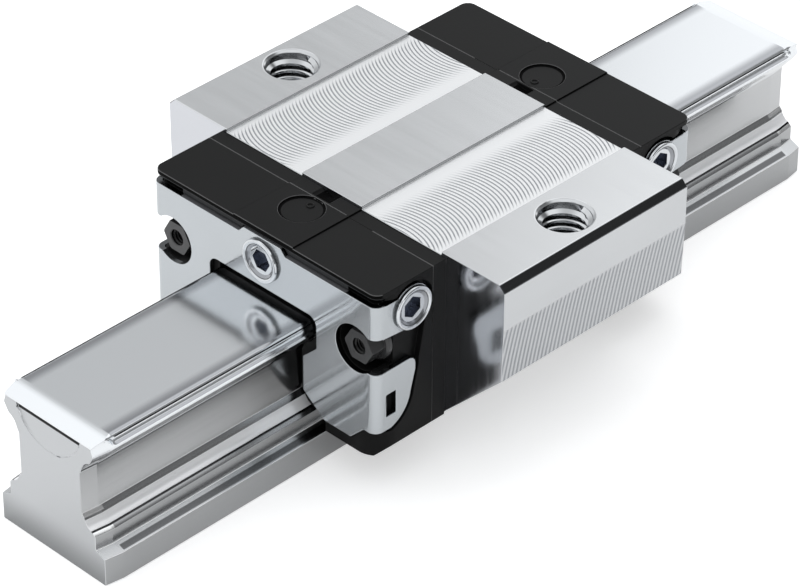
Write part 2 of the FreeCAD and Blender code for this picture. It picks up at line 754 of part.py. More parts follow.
def end_plate(end):
    """Sheet steel plate, folded back round the cap's corners into two tabs on each side."""
    half = PLATE_SIDE_Y
    inner_half = half - PLATE_THICKNESS
    back = SIDE_PORT_X - PLUG_COLLAR_D
    outer = slab(back, PLATE_FACE_X, half, 0, BLOCK_TOP)
    corners = [e for e in outer.Edges if e.Length == BLOCK_TOP and e.CenterOfMass.x > PLATE_BACK_X]
    outer = outer.makeFillet(PLATE_BEND_R, corners)
    inner = slab(back, PLATE_BACK_X, inner_half, 0, BLOCK_TOP)
    corners = [e for e in inner.Edges if e.Length == BLOCK_TOP and e.CenterOfMass.x > SIDE_PORT_X]
    inner = inner.makeFillet(PLATE_BEND_R - PLATE_THICKNESS, corners)
    sheet = outer.cut(inner)
    bend_x = PLATE_FACE_X - PLATE_BEND_R

    face = symmetric_prism(plate_front_half(), bend_x, PLATE_FACE_X)
    face = face.cut(symmetric_prism(opening_half(MOUTH_HIGH - 1), bend_x, PLATE_FACE_X))
    face = face.cut(rod(PLUG_SHANK_D / 2 + PLUG_CLEARANCE, (bend_x, 0, PORT_Z), (PLATE_FACE_X, 0, PORT_Z)))
    for side in (-1, 1):
        y = side * CAP_SCREW_Y
        face = face.cut(rod(SCREW_WINDOW_R, (bend_x, y, CAP_SCREW_Z), (PLATE_FACE_X, y, CAP_SCREW_Z)))
        outside = side * half
        face = face.cut(box((bend_x, min(y, outside), WINDOW_SLOT_LOW),
                            (PLATE_FACE_X, max(y, outside), WINDOW_SLOT_HIGH)))
    plate = sheet.common(face)

    tabs = []
    port = rod(PLUG_SHANK_D / 2 + PLUG_CLEARANCE, (SIDE_PORT_X, -half, PORT_Z), (SIDE_PORT_X, half, PORT_Z))
    slot_x = PLATE_FACE_X - TAB_SLOT_SETBACK
    slot = slab(slot_x - TAB_SLOT_WIDTH / 2, slot_x + TAB_SLOT_WIDTH / 2, half,
                TAB_SLOT_Z - TAB_SLOT_LENGTH / 2, TAB_SLOT_Z + TAB_SLOT_LENGTH / 2)
    behind_bend = slab(back, bend_x, half, 0, BLOCK_TOP)
    for wire in (upper_tab_wire(0, half), lower_tab_wire(0, half)):
        for tab in side_block(wire, 2 * PLATE_THICKNESS):
            tabs.append(sheet.common(tab).common(behind_bend).cut(port).cut(slot))
    plate = plate.fuse(tabs)
    return at_end(plate.removeSplitter(), end)


def cap_blank(corner_r):
    """The solid outline of an end cap, with its two outer upright corners rounded."""
    blank = symmetric_prism(cap_half(), GUIDE_END, CAP_END)
    side_y = CAP_WIDTH / 2
    corners = []
    for edge in blank.Edges:
        middle = edge.CenterOfMass
        upright = edge.Length > CAP_TOP / 2
        if upright and middle.x > CAP_END - corner_r and abs(middle.y) > side_y - corner_r:
            corners.append(edge)
    return blank.makeFillet(corner_r, corners)


def end_cap(end):
    """Moulded cover with the outer half of the ball turns and seats for plate, seal and ports."""
    lip = cap_blank(LIP_CORNER_R).common(slab(GUIDE_END, CAP_END, CAP_WIDTH, LIP_UNDERSIDE, CAP_TOP))
    cap = cap_blank(CAP_CORNER_R).fuse(lip).removeSplitter()
    tools = [symmetric_prism(opening_half(BODY_BOTTOM - 1), GUIDE_END, CAP_END)]
    tools += turn_pockets() + cap_screw_holes()
    tools.append(symmetric_prism(plate_front_half(PLATE_POCKET_GAP), PLATE_BACK_X, PLATE_FACE_X))
    tools.append(slab(CAP_END - LIP_OVERHANG, CAP_END, CAP_WIDTH, PLATE_TOP, LIP_UNDERSIDE))
    recess_end = CAP_END - CORNER_RECESS_DEPTH
    for side in (-1, 1):
        near, outside = side * CORNER_RECESS_Y, side * CAP_WIDTH
        tools.append(box((recess_end, min(near, outside), PLATE_TOP),
                         (CAP_END, max(near, outside), LIP_UNDERSIDE)))
        y = side * CAP_SCREW_Y
        tools.append(rod(SCREW_WINDOW_R, (CAP_SCREW_SEAT_X, y, CAP_SCREW_Z), (CAP_END, y, CAP_SCREW_Z)))
        tools.append(box((CAP_SCREW_SEAT_X, min(y, outside), WINDOW_SLOT_LOW),
                         (CAP_END, max(y, outside), WINDOW_SLOT_HIGH)))
        port_floor = (SIDE_PORT_X, side * (PLATE_SIDE_Y - PORT_DEPTH), PORT_Z)
        tools.append(rod(PLUG_SHANK_D / 2 + PLUG_CLEARANCE, port_floor, (SIDE_PORT_X, outside, PORT_Z)))
    depth = CAP_WIDTH - (PLATE_SIDE_Y - PLATE_THICKNESS)
    tools += side_block(upper_tab_wire(TAB_POCKET_GAP, CAP_WIDTH), depth)
    tools += side_block(lower_tab_wire(TAB_POCKET_GAP, CAP_WIDTH), depth)
    tools += side_block(side_pocket_wire(CAP_WIDTH), depth)
    tools.append(seal_blank())
    port_floor = (PLATE_FACE_X - PORT_DEPTH, 0, PORT_Z)
    tools.append(rod(PLUG_SHANK_D / 2 + PLUG_CLEARANCE, port_floor, (CAP_END, 0, PORT_Z)))
    dimple_x = CAP_END - CAP_DIMPLE_SETBACK
    tools.append(rod(CAP_DIMPLE_R, (dimple_x, 0, CAP_TOP - CAP_DIMPLE_DEPTH), (dimple_x, 0, CAP_TOP)))
    for tool in tools:
        cap = cap.cut(tool)
    return at_end(cap, end)


def seal_blank():
    return slab(PLATE_BACK_X - SEAL_THICKNESS, PLATE_BACK_X, SEAL_WIDTH / 2, SEAL_BOTTOM, SEAL_TOP)


def end_seal(end):
    """Rubber seal plate between the cap and the end plate, cut close to the rail's outline."""
    start = PLATE_BACK_X - SEAL_THICKNESS
    around_rail = Part.Face(symmetric_wire(rail_half(), start)).makeOffset2D(SEAL_RAIL_GAP, 2)
    seal = seal_blank().cut(around_rail.extrude(Vector(SEAL_THICKNESS, 0, 0)))
    above_strip = RAIL_HEIGHT + STRIP_THICKNESS + SEAL_RAIL_GAP
    half_width = HEAD_TOP_WIDTH / 2 + STRIP_THICKNESS + SEAL_RAIL_GAP
    below_lip = RAIL_HEIGHT - HEAD_EDGE_DEPTH - SEAL_RAIL_GAP
    seal = seal.cut(slab(start, PLATE_BACK_X, half_width, below_lip, above_strip))
    return at_end(seal, end)


def cap_screws(end):
    """Two flanged hexagon screws with a small internal thread for bolting on accessories."""
    y, z = CAP_SCREW_Y, CAP_SCREW_Z
    head = hexagon(CAP_SCREW_AF, CAP_SCREW_HEX_LENGTH, Vector(CAP_SCREW_HEX_BACK, y, z),
                   Vector(1, 0, 0), Vector(0, 1, 0))
    flange = rod(CAP_SCREW_FLANGE_D / 2, (CAP_SCREW_SEAT_X, y, z), (CAP_SCREW_HEX_BACK, y, z))
    shank = rod(CAP_SCREW_SHANK_D / 2, (BODY_END - CAP_SCREW_REACH, y, z), (CAP_SCREW_SEAT_X, y, z))
    screw = head.fuse([flange, shank])
    bore_floor = (CAP_SCREW_FACE_X - CAP_SCREW_BORE_DEPTH, y, z)
    screw = screw.cut(rod(CAP_SCREW_BORE_D / 2, bore_floor, (CAP_SCREW_FACE_X, y, z)))
    return at_end(Part.makeCompound(both_sides(screw)), end)


def lube_plug(base, axis):
    """Threaded port plug with a dished collar and a hexagon socket."""
    shank_r = PLUG_SHANK_D / 2
    collar_r = PLUG_COLLAR_D / 2
    dish_r = PLUG_DISH_D / 2
    floor = PLUG_COLLAR_T - PLUG_DISH_DEPTH
    profile = [(0, -PLUG_SHANK_LENGTH), (shank_r, -PLUG_SHANK_LENGTH), (shank_r, 0), (collar_r, 0),
               (collar_r, PLUG_COLLAR_T), (dish_r + PLUG_DISH_DEPTH, PLUG_COLLAR_T),
               (dish_r, floor), (0, floor), (0, -PLUG_SHANK_LENGTH)]
    corners = [Vector(r, 0, h) for r, h in profile]
    plug = Part.Face(Part.makePolygon(corners)).revolve(Vector(), Vector(0, 0, 1), 360)
    up = Vector(0, 0, 1)
    socket_floor = up * (floor - PLUG_SOCKET_DEPTH)
    depth = PLUG_SOCKET_DEPTH + PLUG_COLLAR_T
    plug = plug.cut(hexagon(PLUG_SOCKET_AF, depth, socket_floor, up, Vector(0, 1, 0)))
    plug.Placement = FreeCAD.Placement(Vector(*base), FreeCAD.Rotation(up, Vector(*axis)))
    return plug


def front_lube_plug(end):
    return at_end(lube_plug((PLATE_FACE_X, 0, PORT_Z), (1, 0, 0)), end)


def side_lube_plugs(end):
    plug = lube_plug((SIDE_PORT_X, PLATE_SIDE_Y, PORT_Z), (0, 1, 0))
    return at_end(Part.makeCompound(both_sides(plug)), end)


pieces = {
    "guide_rail": guide_rail(),
    "rail_cover_strip": rail_cover_strip(),
    "steel_body": steel_body(),
}
for side_name, side in SIDES.items():
    pieces["track_insert_" + side_name] = side_strip(insert_outline(), BODY_LENGTH, side)
    pieces["upper_retainer_" + side_name] = side_strip(upper_retainer_outline(), BODY_LENGTH, side)
    pieces["middle_retainer_" + side_name] = side_strip(middle_retainer_outline(), BODY_LENGTH, side)
    pieces["lower_retainer_" + side_name] = side_strip(lower_retainer_outline(), BODY_LENGTH, side)
    pieces["side_seal_" + side_name] = side_strip(side_seal_outline(), BODY_LENGTH, side)
    for row in ROWS:
        pieces["return_tube_" + row + "_" + side_name] = return_tube(row, side)
        pieces["ball_circuit_" + row + "_" + side_name] = ball_circuit(row, side)
for end_name, end in ENDS.items():
    pieces["return_guide_" + end_name] = return_guide(end)
    pieces["end_cap_" + end_name] = end_cap(end)
    pieces["end_seal_" + end_name] = end_seal(end)
    pieces["end_plate_" + end_name] = end_plate(end)
    pieces["cap_screws_" + end_name] = cap_screws(end)
    pieces["lube_plug_" + end_name] = front_lube_plug(end)
    pieces["side_lube_plugs_" + end_name] = side_lube_plugs(end)

for name, shape in pieces.items():
    shape.exportStep("parts/" + name + ".step")
    print(name, len(shape.Solids), "solids, valid", shape.isValid(), round(shape.Volume, 1), "mm3")
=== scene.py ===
"""A flanged ball runner block on a short guide rail, dressed for the camera.

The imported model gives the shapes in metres: X along the rail, Y across it, Z up. The front is
the -X end. Each section below adds the edges, fine forms and finish of one piece.
"""

import bpy
import math
from mathutils import Matrix, Vector


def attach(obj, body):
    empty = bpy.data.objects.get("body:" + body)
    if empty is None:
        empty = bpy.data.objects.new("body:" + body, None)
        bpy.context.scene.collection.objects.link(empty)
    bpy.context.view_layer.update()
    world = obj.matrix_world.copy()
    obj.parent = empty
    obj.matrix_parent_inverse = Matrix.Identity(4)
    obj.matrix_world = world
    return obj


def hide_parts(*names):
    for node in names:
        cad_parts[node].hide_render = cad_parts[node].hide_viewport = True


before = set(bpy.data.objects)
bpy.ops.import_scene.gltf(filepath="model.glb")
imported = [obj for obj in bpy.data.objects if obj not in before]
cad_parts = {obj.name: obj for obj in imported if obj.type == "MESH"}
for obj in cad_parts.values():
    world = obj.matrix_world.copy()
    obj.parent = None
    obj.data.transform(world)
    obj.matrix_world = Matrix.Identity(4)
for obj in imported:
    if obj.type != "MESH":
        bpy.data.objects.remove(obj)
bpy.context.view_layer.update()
MM = 0.001


# The guide rail: a hardened steel bar, ground on its sides and polished in its ball tracks.
# Its ends are relieved by 3 mm so that the block runs on easily, and their faces are sawn and
# ground. It is screwed to the machine through counterbored holes under the cover strip.
RAIL_EDGE = 0.13 * MM
TRACK_POLISH = 0.06
# The ground sides are painted darker than the waist: painted shade for the shaded table they mirror near
# the rail.
RAIL_SIDE_SHADED_STEEL = (0.43, 0.435, 0.44)
LEAD_IN_X = 71.5
CRISP_X = 70 * MM
END_X = 74.8 * MM
# Painted shadow on the end face, in the narrow slit under the folded strip.
GAP_LOW = 22.27
GAP_HALF = 6.6
# Height of the painted shadow along the cover strip's lower edge.
LEG_END = 22.88
# How high the painted shade on the end face reaches above the foot.
SHADE_BELOW = 7.0
FOOT_TOP = 6
# Where the painted dark reflection lies across the foot's sloping top.
FOOT_REFLECTION_BAR = (10.15, 10.35, 11.1, 11.3)
# Thin rims painted near white as painted highlights on the tracks.
TRACK_HIGHLIGHT_RIMS = ((10.47, 10.56), (5.34, 5.43), (4.56, 4.66))
# Heights of the narrow slopes that carry a painted dark reflection.
SLOPES = ((9.96, 10.5), (7.7, 8.2))
LOWER_TRACK = ((8.2, 9.7),)
LOWER_RIM_TOP = 8.34
WAIST = ((10.5, 18),)
HEAD_SIDE = ((21.9, 23.2),)
SIDES_TOP = 21.5


def select_only(piece):
    bpy.ops.object.select_all(action="DESELECT")
    piece.select_set(True)
    bpy.context.view_layer.objects.active = piece


def round_edges(piece, width, segments=2, angle=28):
    """Rounds every edge sharper than the angle, inside the piece's own box, and smooths between them."""
    low = Vector(min(vertex.co[axis] for vertex in piece.data.vertices) for axis in range(3))
    high = Vector(max(vertex.co[axis] for vertex in piece.data.vertices) for axis in range(3))
    select_only(piece)
    bpy.ops.object.shade_smooth()
    bevel = piece.modifiers.new("edges", "BEVEL")
    bevel.width = width
    bevel.segments = segments
    bevel.limit_method = "ANGLE"
    bevel.angle_limit = math.radians(angle)
    bevel.use_clamp_overlap = False
    bevel.harden_normals = True
    bevel.miter_outer = "MITER_ARC"
    bpy.ops.object.modifier_apply(modifier=bevel.name)
    for vertex in piece.data.vertices:
        vertex.co = Vector(min(max(vertex.co[axis], low[axis]), high[axis]) for axis in range(3))


def keep_crisp(piece):
    """Marks the shallow edges across X where the lead-in begins, so that they stay sharp."""
    for edge in piece.data.edges:
        first, second = (piece.data.vertices[index].co.x for index in edge.vertices)
        if abs(first - second) < 0.01 * MM and CRISP_X < abs(first) < END_X:
            edge.use_edge_sharp = True


def dressed_copy(node, name, edge, body, prepare=None):
    """A welded copy of a CAD node with its edges rounded, which is shown in the node's place."""
    piece = bpy.data.objects.new(name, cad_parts[node].data.copy())
    bpy.context.scene.collection.objects.link(piece)
    select_only(piece)
    bpy.ops.mesh.customdata_custom_splitnormals_clear()
    bpy.ops.object.mode_set(mode="EDIT")
    bpy.ops.mesh.select_all(action="SELECT")
    bpy.ops.mesh.remove_doubles(threshold=0.002 * MM)
    bpy.ops.mesh.dissolve_limited(angle_limit=math.radians(0.4))
    bpy.ops.object.mode_set(mode="OBJECT")
    if prepare:
        prepare(piece)
    round_edges(piece, edge)
    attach(piece, body)
    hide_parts(node)
    return piece


def link(tree, source, socket, target, into):
    tree.links.new(source.outputs[socket], target.inputs[into])


def ground_steel(name, colour, roughness, lay, spread=0.04, scratch=0.0006 * MM, metal=1.0):
    """Bare steel. The lay is how fine its grinding marks are along X, Y and Z, per metre."""
    material = bpy.data.materials.new(name)
    material.use_nodes = True
    tree = material.node_tree
    steel = tree.nodes["Principled BSDF"]
    steel.inputs["Metallic"].default_value = metal
    place = tree.nodes.new("ShaderNodeTexCoord")
    stretch = tree.nodes.new("ShaderNodeMapping")
    stretch.inputs["Scale"].default_value = lay
    marks = tree.nodes.new("ShaderNodeTexNoise")
    marks.inputs["Scale"].default_value = 1.0
    marks.inputs["Detail"].default_value = 3.0
    cloud = tree.nodes.new("ShaderNodeTexNoise")
    cloud.inputs["Scale"].default_value = 45.0
    cloud.inputs["Detail"].default_value = 2.0
    gloss = tree.nodes.new("ShaderNodeMapRange")
    gloss.inputs["From Min"].default_value = 0.3
    gloss.inputs["From Max"].default_value = 0.7
    gloss.inputs["To Min"].default_value = max(roughness - spread, 0.02)
    gloss.inputs["To Max"].default_value = roughness + spread
    tint = tree.nodes.new("ShaderNodeMix")
    tint.data_type = "RGBA"
    tint.inputs["A"].default_value = tuple(0.95 * c for c in colour) + (1.0,)
    tint.inputs["B"].default_value = tuple(1.05 * c for c in colour) + (1.0,)
    relief = tree.nodes.new("ShaderNodeBump")
    relief.inputs["Distance"].default_value = scratch
    link(tree, place, "Object", stretch, "Vector")
    link(tree, stretch, "Vector", marks, "Vector")
    link(tree, place, "Object", cloud, "Vector")
    link(tree, marks, "Fac", gloss, "Value")
    link(tree, gloss, "Result", steel, "Roughness")
    link(tree, cloud, "Fac", tint, "Factor")
    link(tree, tint, "Result", steel, "Base Color")
    link(tree, marks, "Fac", relief, "Height")
    link(tree, relief, "Normal", steel, "Normal")
    return material


def calc(tree, operation, first, second=None):
    """Adds a Math node and gives its output. An argument is a number, or (node, socket name)."""
    node = tree.nodes.new("ShaderNodeMath")
    node.operation = operation
    for index, value in enumerate((first, second)):
        if isinstance(value, tuple):
            tree.links.new(value[0].outputs[value[1]], node.inputs[index])
        elif value is not None:
            node.inputs[index].default_value = value
    return (node, "Value")


def between(tree, value, low, high, start, end):
    """Maps value from low..high to start..end with soft ends."""
    node = tree.nodes.new("ShaderNodeMapRange")
    node.interpolation_type = "SMOOTHSTEP"
    tree.links.new(value[0].outputs[value[1]], node.inputs["Value"])
    for socket, number in (("From Min", low), ("From Max", high), ("To Min", start), ("To Max", end)):
        node.inputs[socket].default_value = number
    return (node, "Result")


def window(tree, value, start, full, fading, end):
    """1 from full to fading, and 0 before start and after end."""
    return calc(tree, "MULTIPLY", between(tree, value, start, full, 0.0, 1.0),
                between(tree, value, fading, end, 1.0, 0.0))


def patterned_steel(name, light, dark, roughness, depth, pattern):
    """Bare steel with cuts: pattern(tree, x, y, z in mm) gives how deep a place is cut, 0 to 1."""
    material = bpy.data.materials.new(name)
    material.use_nodes = True
    tree = material.node_tree
    steel = tree.nodes["Principled BSDF"]
    steel.inputs["Metallic"].default_value = 1.0
    steel.inputs["Roughness"].default_value = roughness
    place = tree.nodes.new("ShaderNodeTexCoord")
    scale = tree.nodes.new("ShaderNodeVectorMath")
    scale.operation = "SCALE"
    scale.inputs["Scale"].default_value = 1 / MM
    link(tree, place, "Object", scale, "Vector")
    axes = tree.nodes.new("ShaderNodeSeparateXYZ")
    link(tree, scale, "Vector", axes, "Vector")
    cut = pattern(tree, (axes, "X"), (axes, "Y"), (axes, "Z"))
    tint = tree.nodes.new("ShaderNodeMix")
    tint.data_type = "RGBA"
    tint.inputs["A"].default_value = light + (1.0,)
    tint.inputs["B"].default_value = dark + (1.0,)
    tree.links.new(cut[0].outputs[cut[1]], tint.inputs["Factor"])
    link(tree, tint, "Result", steel, "Base Color")
    relief = tree.nodes.new("ShaderNodeBump")
    relief.invert = True
    relief.inputs["Distance"].default_value = depth
    tree.links.new(cut[0].outputs[cut[1]], relief.inputs["Height"])
    link(tree, relief, "Normal", steel, "Normal")
    return material


def paint(piece, materials, choose):
    """Gives each face the material whose name choose(face centre in mm, normal) returns."""
    piece.data.materials.clear()
    order = list(materials)
    for key in order:
        piece.data.materials.append(materials[key])
    for face in piece.data.polygons:
        face.material_index = order.index(choose(face.center / MM, face.normal))


def end_painted_shade(tree, x, y, z):
    """Painted shade: the end face is painted darker towards the foot, and a painted shadow lies in the
    narrow slit under the folded strip.
    """
    low_painted_shade = between(tree, z, 0.0, SHADE_BELOW, 0.45, 0.0)
    gap_painted_shadow = calc(tree, "MULTIPLY", between(tree, z, GAP_LOW, GAP_LOW + 0.05, 0.0, 1.0),
               between(tree, calc(tree, "ABSOLUTE", y), GAP_HALF, GAP_HALF + 0.1, 1.0, 0.0))
    return calc(tree, "MAXIMUM", low_painted_shade, gap_painted_shadow)


def past_lead_in(tree, x):
    """1 between the relieved ends of the rail, 0 on them."""
    return between(tree, calc(tree, "ABSOLUTE", x), LEAD_IN_X - 0.1, LEAD_IN_X + 0.1, 1.0, 0.0)


def slope_painted_reflection(tree, x, y, z):
    """Painted reflection: the slopes are painted dark between the lead-ins and bright on them."""
    return past_lead_in(tree, x)


def foot_painted_reflection(tree, x, y, z):
    """A painted dark reflection lies on the sloping top of the foot, between two ground edges."""
    bar = window(tree, calc(tree, "ABSOLUTE", y), *FOOT_REFLECTION_BAR)
    return calc(tree, "MULTIPLY", bar, past_lead_in(tree, x))


def leg_shadow(tree, x, y, z):
    """Painted shadow in the narrow groove between the cover strip's edge and the rail head, which ends at
    the lead-in.
    """
    off = calc(tree, "ABSOLUTE", calc(tree, "SUBTRACT", z, LEG_END))
    return calc(tree, "MULTIPLY", between(tree, off, 0.14, 0.22, 1.0, 0.0), past_lead_in(tree, x))


def rail_finish(centre, normal):
    """Ground sides painted darker as painted shade, tracks painted bright as painted highlights, a bright
    head, a painted shadow line under the lower track, and painted dark reflections on the narrow slopes
    and the foot.
    """

    def within(heights):
        return any(low < centre.z < high for low, high in heights)

    if abs(normal.x) > 0.85:
        return "end"
    if within(TRACK_HIGHLIGHT_RIMS):
        return "track"
    if normal.z > 0.85 and centre.z < FOOT_TOP:
        return "foot"
    if within(SLOPES):
        return "slope" if abs(abs(normal.y) - normal.z) < 0.35 else "ground"
    # A painted shadow line lies along the lower track's lower rim.
    if within(LOWER_TRACK):
        return "line" if centre.z < LOWER_RIM_TOP else "track"
    if within(HEAD_SIDE) and abs(normal.y) > 0.5:
        return "head"
    if within(WAIST):
        return "waist"
    sides = abs(normal.y) > 0.94 and centre.z < SIDES_TOP
    return "ground" if sides or normal.z < -0.9 and centre.z < 1 else "polished"


ALONG_X = (25, 2600, 2600)
rail = dressed_copy("guide_rail", "rail_bar", RAIL_EDGE, "rail", keep_crisp)
paint(rail, {
    # Darker ground steel on the sides as painted shade.
    "ground": ground_steel("rail_ground_side_painted_shade", RAIL_SIDE_SHADED_STEEL, 0.20, ALONG_X, 0.02, 0.0002 * MM),
    "polished": ground_steel("rail_polished", (0.68, 0.69, 0.70), TRACK_POLISH, ALONG_X, 0.02),
    "waist": ground_steel("rail_ground_waist", (0.55, 0.555, 0.56), 0.18, ALONG_X, 0.02, 0.0002 * MM),
    # The head's side carries a painted shadow along the strip's lower edge.
    "head": patterned_steel("rail_head_side_painted_shadow", (0.86, 0.88, 0.90), (0.26, 0.265, 0.27), 0.14, 0.0,
                            leg_shadow),
    # Near white and mostly not metallic: painted highlights on the track rims and the lower track.
    "track": ground_steel("rail_track_painted_highlight", (0.97, 0.97, 0.98), 0.22, ALONG_X, 0.05, metal=0.25),
    # Near black: painted shadow along the lower track's rim.
    "line": ground_steel("rail_track_edge_painted_shadow", (0.04, 0.04, 0.042), 0.15, ALONG_X, 0.02),
    # Painted reflection on the slopes: dark along the rail, bright on the lead-ins.
    "slope": patterned_steel("rail_slope_painted_reflection", (0.95, 0.95, 0.95), (0.42, 0.424, 0.43), 0.25, 0.0,
                             slope_painted_reflection),
    # Painted dark reflection on the top of the foot.
    "foot": patterned_steel("rail_foot_painted_reflection", (0.66, 0.67, 0.68), (0.16, 0.163, 0.167), 0.22, 0.0,
                            foot_painted_reflection),
    # The end face is painted darker towards the foot and carries a painted shadow under the strip.
    "end": patterned_steel("rail_end_face_painted_shade", (0.58, 0.59, 0.60), (0.02, 0.02, 0.02), 0.34, 0.0, end_painted_shade),
}, rail_finish)


# The cover strip: spring steel, 0.25 mm thick, that snaps over the rail head and hides the
# holes. It is bright rolled, so it mirrors the block, and its ends are folded down.
STRIP_EDGE = 0.05 * MM
FOLD_X = 72.0 * MM
FOLD_SOFTNESS = 0.9 * MM
# Where the painted darker reflection along the strip's long edges begins and where it is full.
REFLECTION_FROM_Y = 6.8
REFLECTION_TO_Y = 8.8


def soften_fold(piece):
    """Rounds the shallow bends that cross the strip near its ends."""
    select_only(piece)
    bpy.ops.object.mode_set(mode="EDIT")
    bpy.ops.mesh.select_mode(type="EDGE")
    bpy.ops.mesh.select_all(action="DESELECT")
    bpy.ops.object.mode_set(mode="OBJECT")
    for edge in piece.data.edges:
        ends = [piece.data.vertices[index].co for index in edge.vertices]
        edge.select = all(abs(abs(end.x) - FOLD_X) < 0.02 * MM for end in ends)
    bpy.ops.object.mode_set(mode="EDIT")
    bpy.ops.mesh.bevel(offset=FOLD_SOFTNESS, segments=5, affect="EDGES")
    bpy.ops.mesh.select_mode(type="VERT")
    bpy.ops.object.mode_set(mode="OBJECT")


def edge_painted_reflection(tree, x, y, z):
    """Painted reflection: the strip is painted darker towards its long edges, as if there it mirrored the
    darker side.
    """
    near_edge = between(tree, calc(tree, "ABSOLUTE", y), REFLECTION_FROM_Y, REFLECTION_TO_Y, 0.0, 1.0)
    return calc(tree, "MULTIPLY", near_edge, past_lead_in(tree, x))


strip = dressed_copy("rail_cover_strip", "cover_strip", STRIP_EDGE, "rail",
                     soften_fold)
even = strip.modifiers.new("even", "WEIGHTED_NORMAL")
even.keep_sharp = True
bpy.ops.object.modifier_apply(modifier=even.name)
paint(strip, {
    # Bright strip with a painted darker reflection along its long edges.
    "strip": patterned_steel("cover_strip_painted_edge_reflection", (0.86, 0.88, 0.90), (0.44, 0.45, 0.47), 0.15, 0.0,
                             edge_painted_reflection),
    # The strip's sides carry a painted shadow along their lower edge.
    "side": patterned_steel("cover_strip_side_painted_shadow", (0.88, 0.90, 0.92), (0.26, 0.265, 0.27), 0.14, 0.0,
                            leg_shadow),
}, lambda centre, normal: "side" if abs(normal.y) > 0.5 and abs(normal.z) < 0.8 else "strip")


# The steel body: a hardened block whose top and left edge are ground as mounting faces. Two
# bands are face milled a little lower, the flange edges are shaped below a smooth band, and
# the end faces are finished smooth behind the caps.
BODY_EDGE = 0.12 * MM
BLOCK_TOP = 36.0
BAND_TOP = 35.5
BAND_MIDDLE_Y = 14.3
ARC_RADIUS = 11.5
ARC_PITCH = 0.70
ARC_FADES = (-6.0, -2.6, 5.8, 7.6)
EDGE_BAND_LOW = 28.5
FLANGE_EDGE_LOW = 19.25
GROOVE_PITCH = 0.86
GROOVE_LEAN = 0.176
GROOVE_BEND = 0.004
FLANGE_Y = 34
EVERY_WAY = (900, 900, 900)


def milling_arcs(tree, x, y, z):
    """Arcs left by a face mill that ran along each band, bulging to the rear on the right."""
    from_middle = calc(tree, "SUBTRACT", calc(tree, "ABSOLUTE", y), BAND_MIDDLE_Y)
    inside = calc(tree, "SUBTRACT", ARC_RADIUS ** 2, calc(tree, "MULTIPLY", from_middle, from_middle))
    reach = calc(tree, "SQRT", calc(tree, "MAXIMUM", inside, 0.0))
    signed = calc(tree, "MULTIPLY", reach, calc(tree, "SIGN", y))
    turns = calc(tree, "DIVIDE", calc(tree, "ADD", x, signed), ARC_PITCH)
    wave = calc(tree, "SINE", calc(tree, "MULTIPLY", turns, 2 * math.pi))
    cut = between(tree, wave, 0.0, 0.95, 0.0, 1.0)
    return calc(tree, "MULTIPLY", cut, window(tree, from_middle, *ARC_FADES))


def edge_grooves(tree, x, y, z):
    """Slanting grooves below the smooth band of the flange edge, with rounded upper ends."""
    height = calc(tree, "SUBTRACT", z, FLANGE_EDGE_LOW)
    bend = calc(tree, "MULTIPLY", calc(tree, "MULTIPLY", height, height), GROOVE_BEND)
    lean = calc(tree, "ADD", calc(tree, "MULTIPLY", height, GROOVE_LEAN), bend)
    turns = calc(tree, "DIVIDE", calc(tree, "SUBTRACT", x, lean), GROOVE_PITCH)
    wave = calc(tree, "SINE", calc(tree, "MULTIPLY", turns, 2 * math.pi))
    cut = between(tree, wave, -0.5, 0.9, 0.0, 1.0)
    edge = calc(tree, "ADD", z, calc(tree, "MULTIPLY", wave, -0.25))
    below = between(tree, edge, EDGE_BAND_LOW - 0.6, EDGE_BAND_LOW - 0.2, 1.0, 0.0)
    return calc(tree, "MULTIPLY", cut, below)


def body_finish(centre, normal):
    """Ground top, milled bands, smooth and grooved flange edges, and dark chamfers between them."""
    flange_edge = abs(normal.y) > 0.9 and abs(centre.y) > FLANGE_Y
    if normal.z > 0.95 and centre.z > BLOCK_TOP - 0.1:
        return "top"
    if normal.z > 0.95 and centre.z > BAND_TOP - 0.1:
        return "band"
    if flange_edge:
        return "edge" if centre.z > EDGE_BAND_LOW else "grooved"
    if abs(normal.x) > 0.95:
        return "end"
    if centre.z > BAND_TOP - 0.5 and abs(centre.y) > FLANGE_Y and abs(abs(normal.y) - normal.z) < 0.1:
        return "chamfer"
    return "bright"


body = dressed_copy("steel_body", "block_body", BODY_EDGE, "runner_block")
paint(body, {
    "top": ground_steel("body_ground_top", (0.80, 0.81, 0.82), 0.20, (900, 60, 900), 0.03),
    "band": patterned_steel("body_milled_band", (0.97, 0.975, 0.98), (0.34, 0.35, 0.37), 0.42,
                            0.05 * MM, milling_arcs),
    "edge": ground_steel("body_reference_edge", (0.62, 0.63, 0.64), 0.24, ALONG_X, 0.03),
    "grooved": patterned_steel("body_grooved_edge", (0.60, 0.61, 0.62), (0.36, 0.37, 0.39), 0.30,
                               0.06 * MM, edge_grooves),
    "end": ground_steel("body_end_face", (0.66, 0.67, 0.70), 0.14, (900, 900, 60), 0.03),
    "chamfer": ground_steel("body_dark_chamfer", (0.085, 0.087, 0.09), 0.20, ALONG_X),
    "bright": ground_steel("body_bright_steel", (0.60, 0.61, 0.62), 0.16, EVERY_WAY),
}, body_finish)


# The flange threads: M8, cut into both flange holes below the countersink, with three or four
# bright turns to be seen from above.
THREAD_R = 4.0 * MM
THREAD_PITCH = 1.25 * MM
THREAD_DEPTH = 0.62 * MM
THREAD_HIGH = 35.5 * MM
THREAD_LOW = 26.9 * MM
THREAD_Y = 28.5 * MM


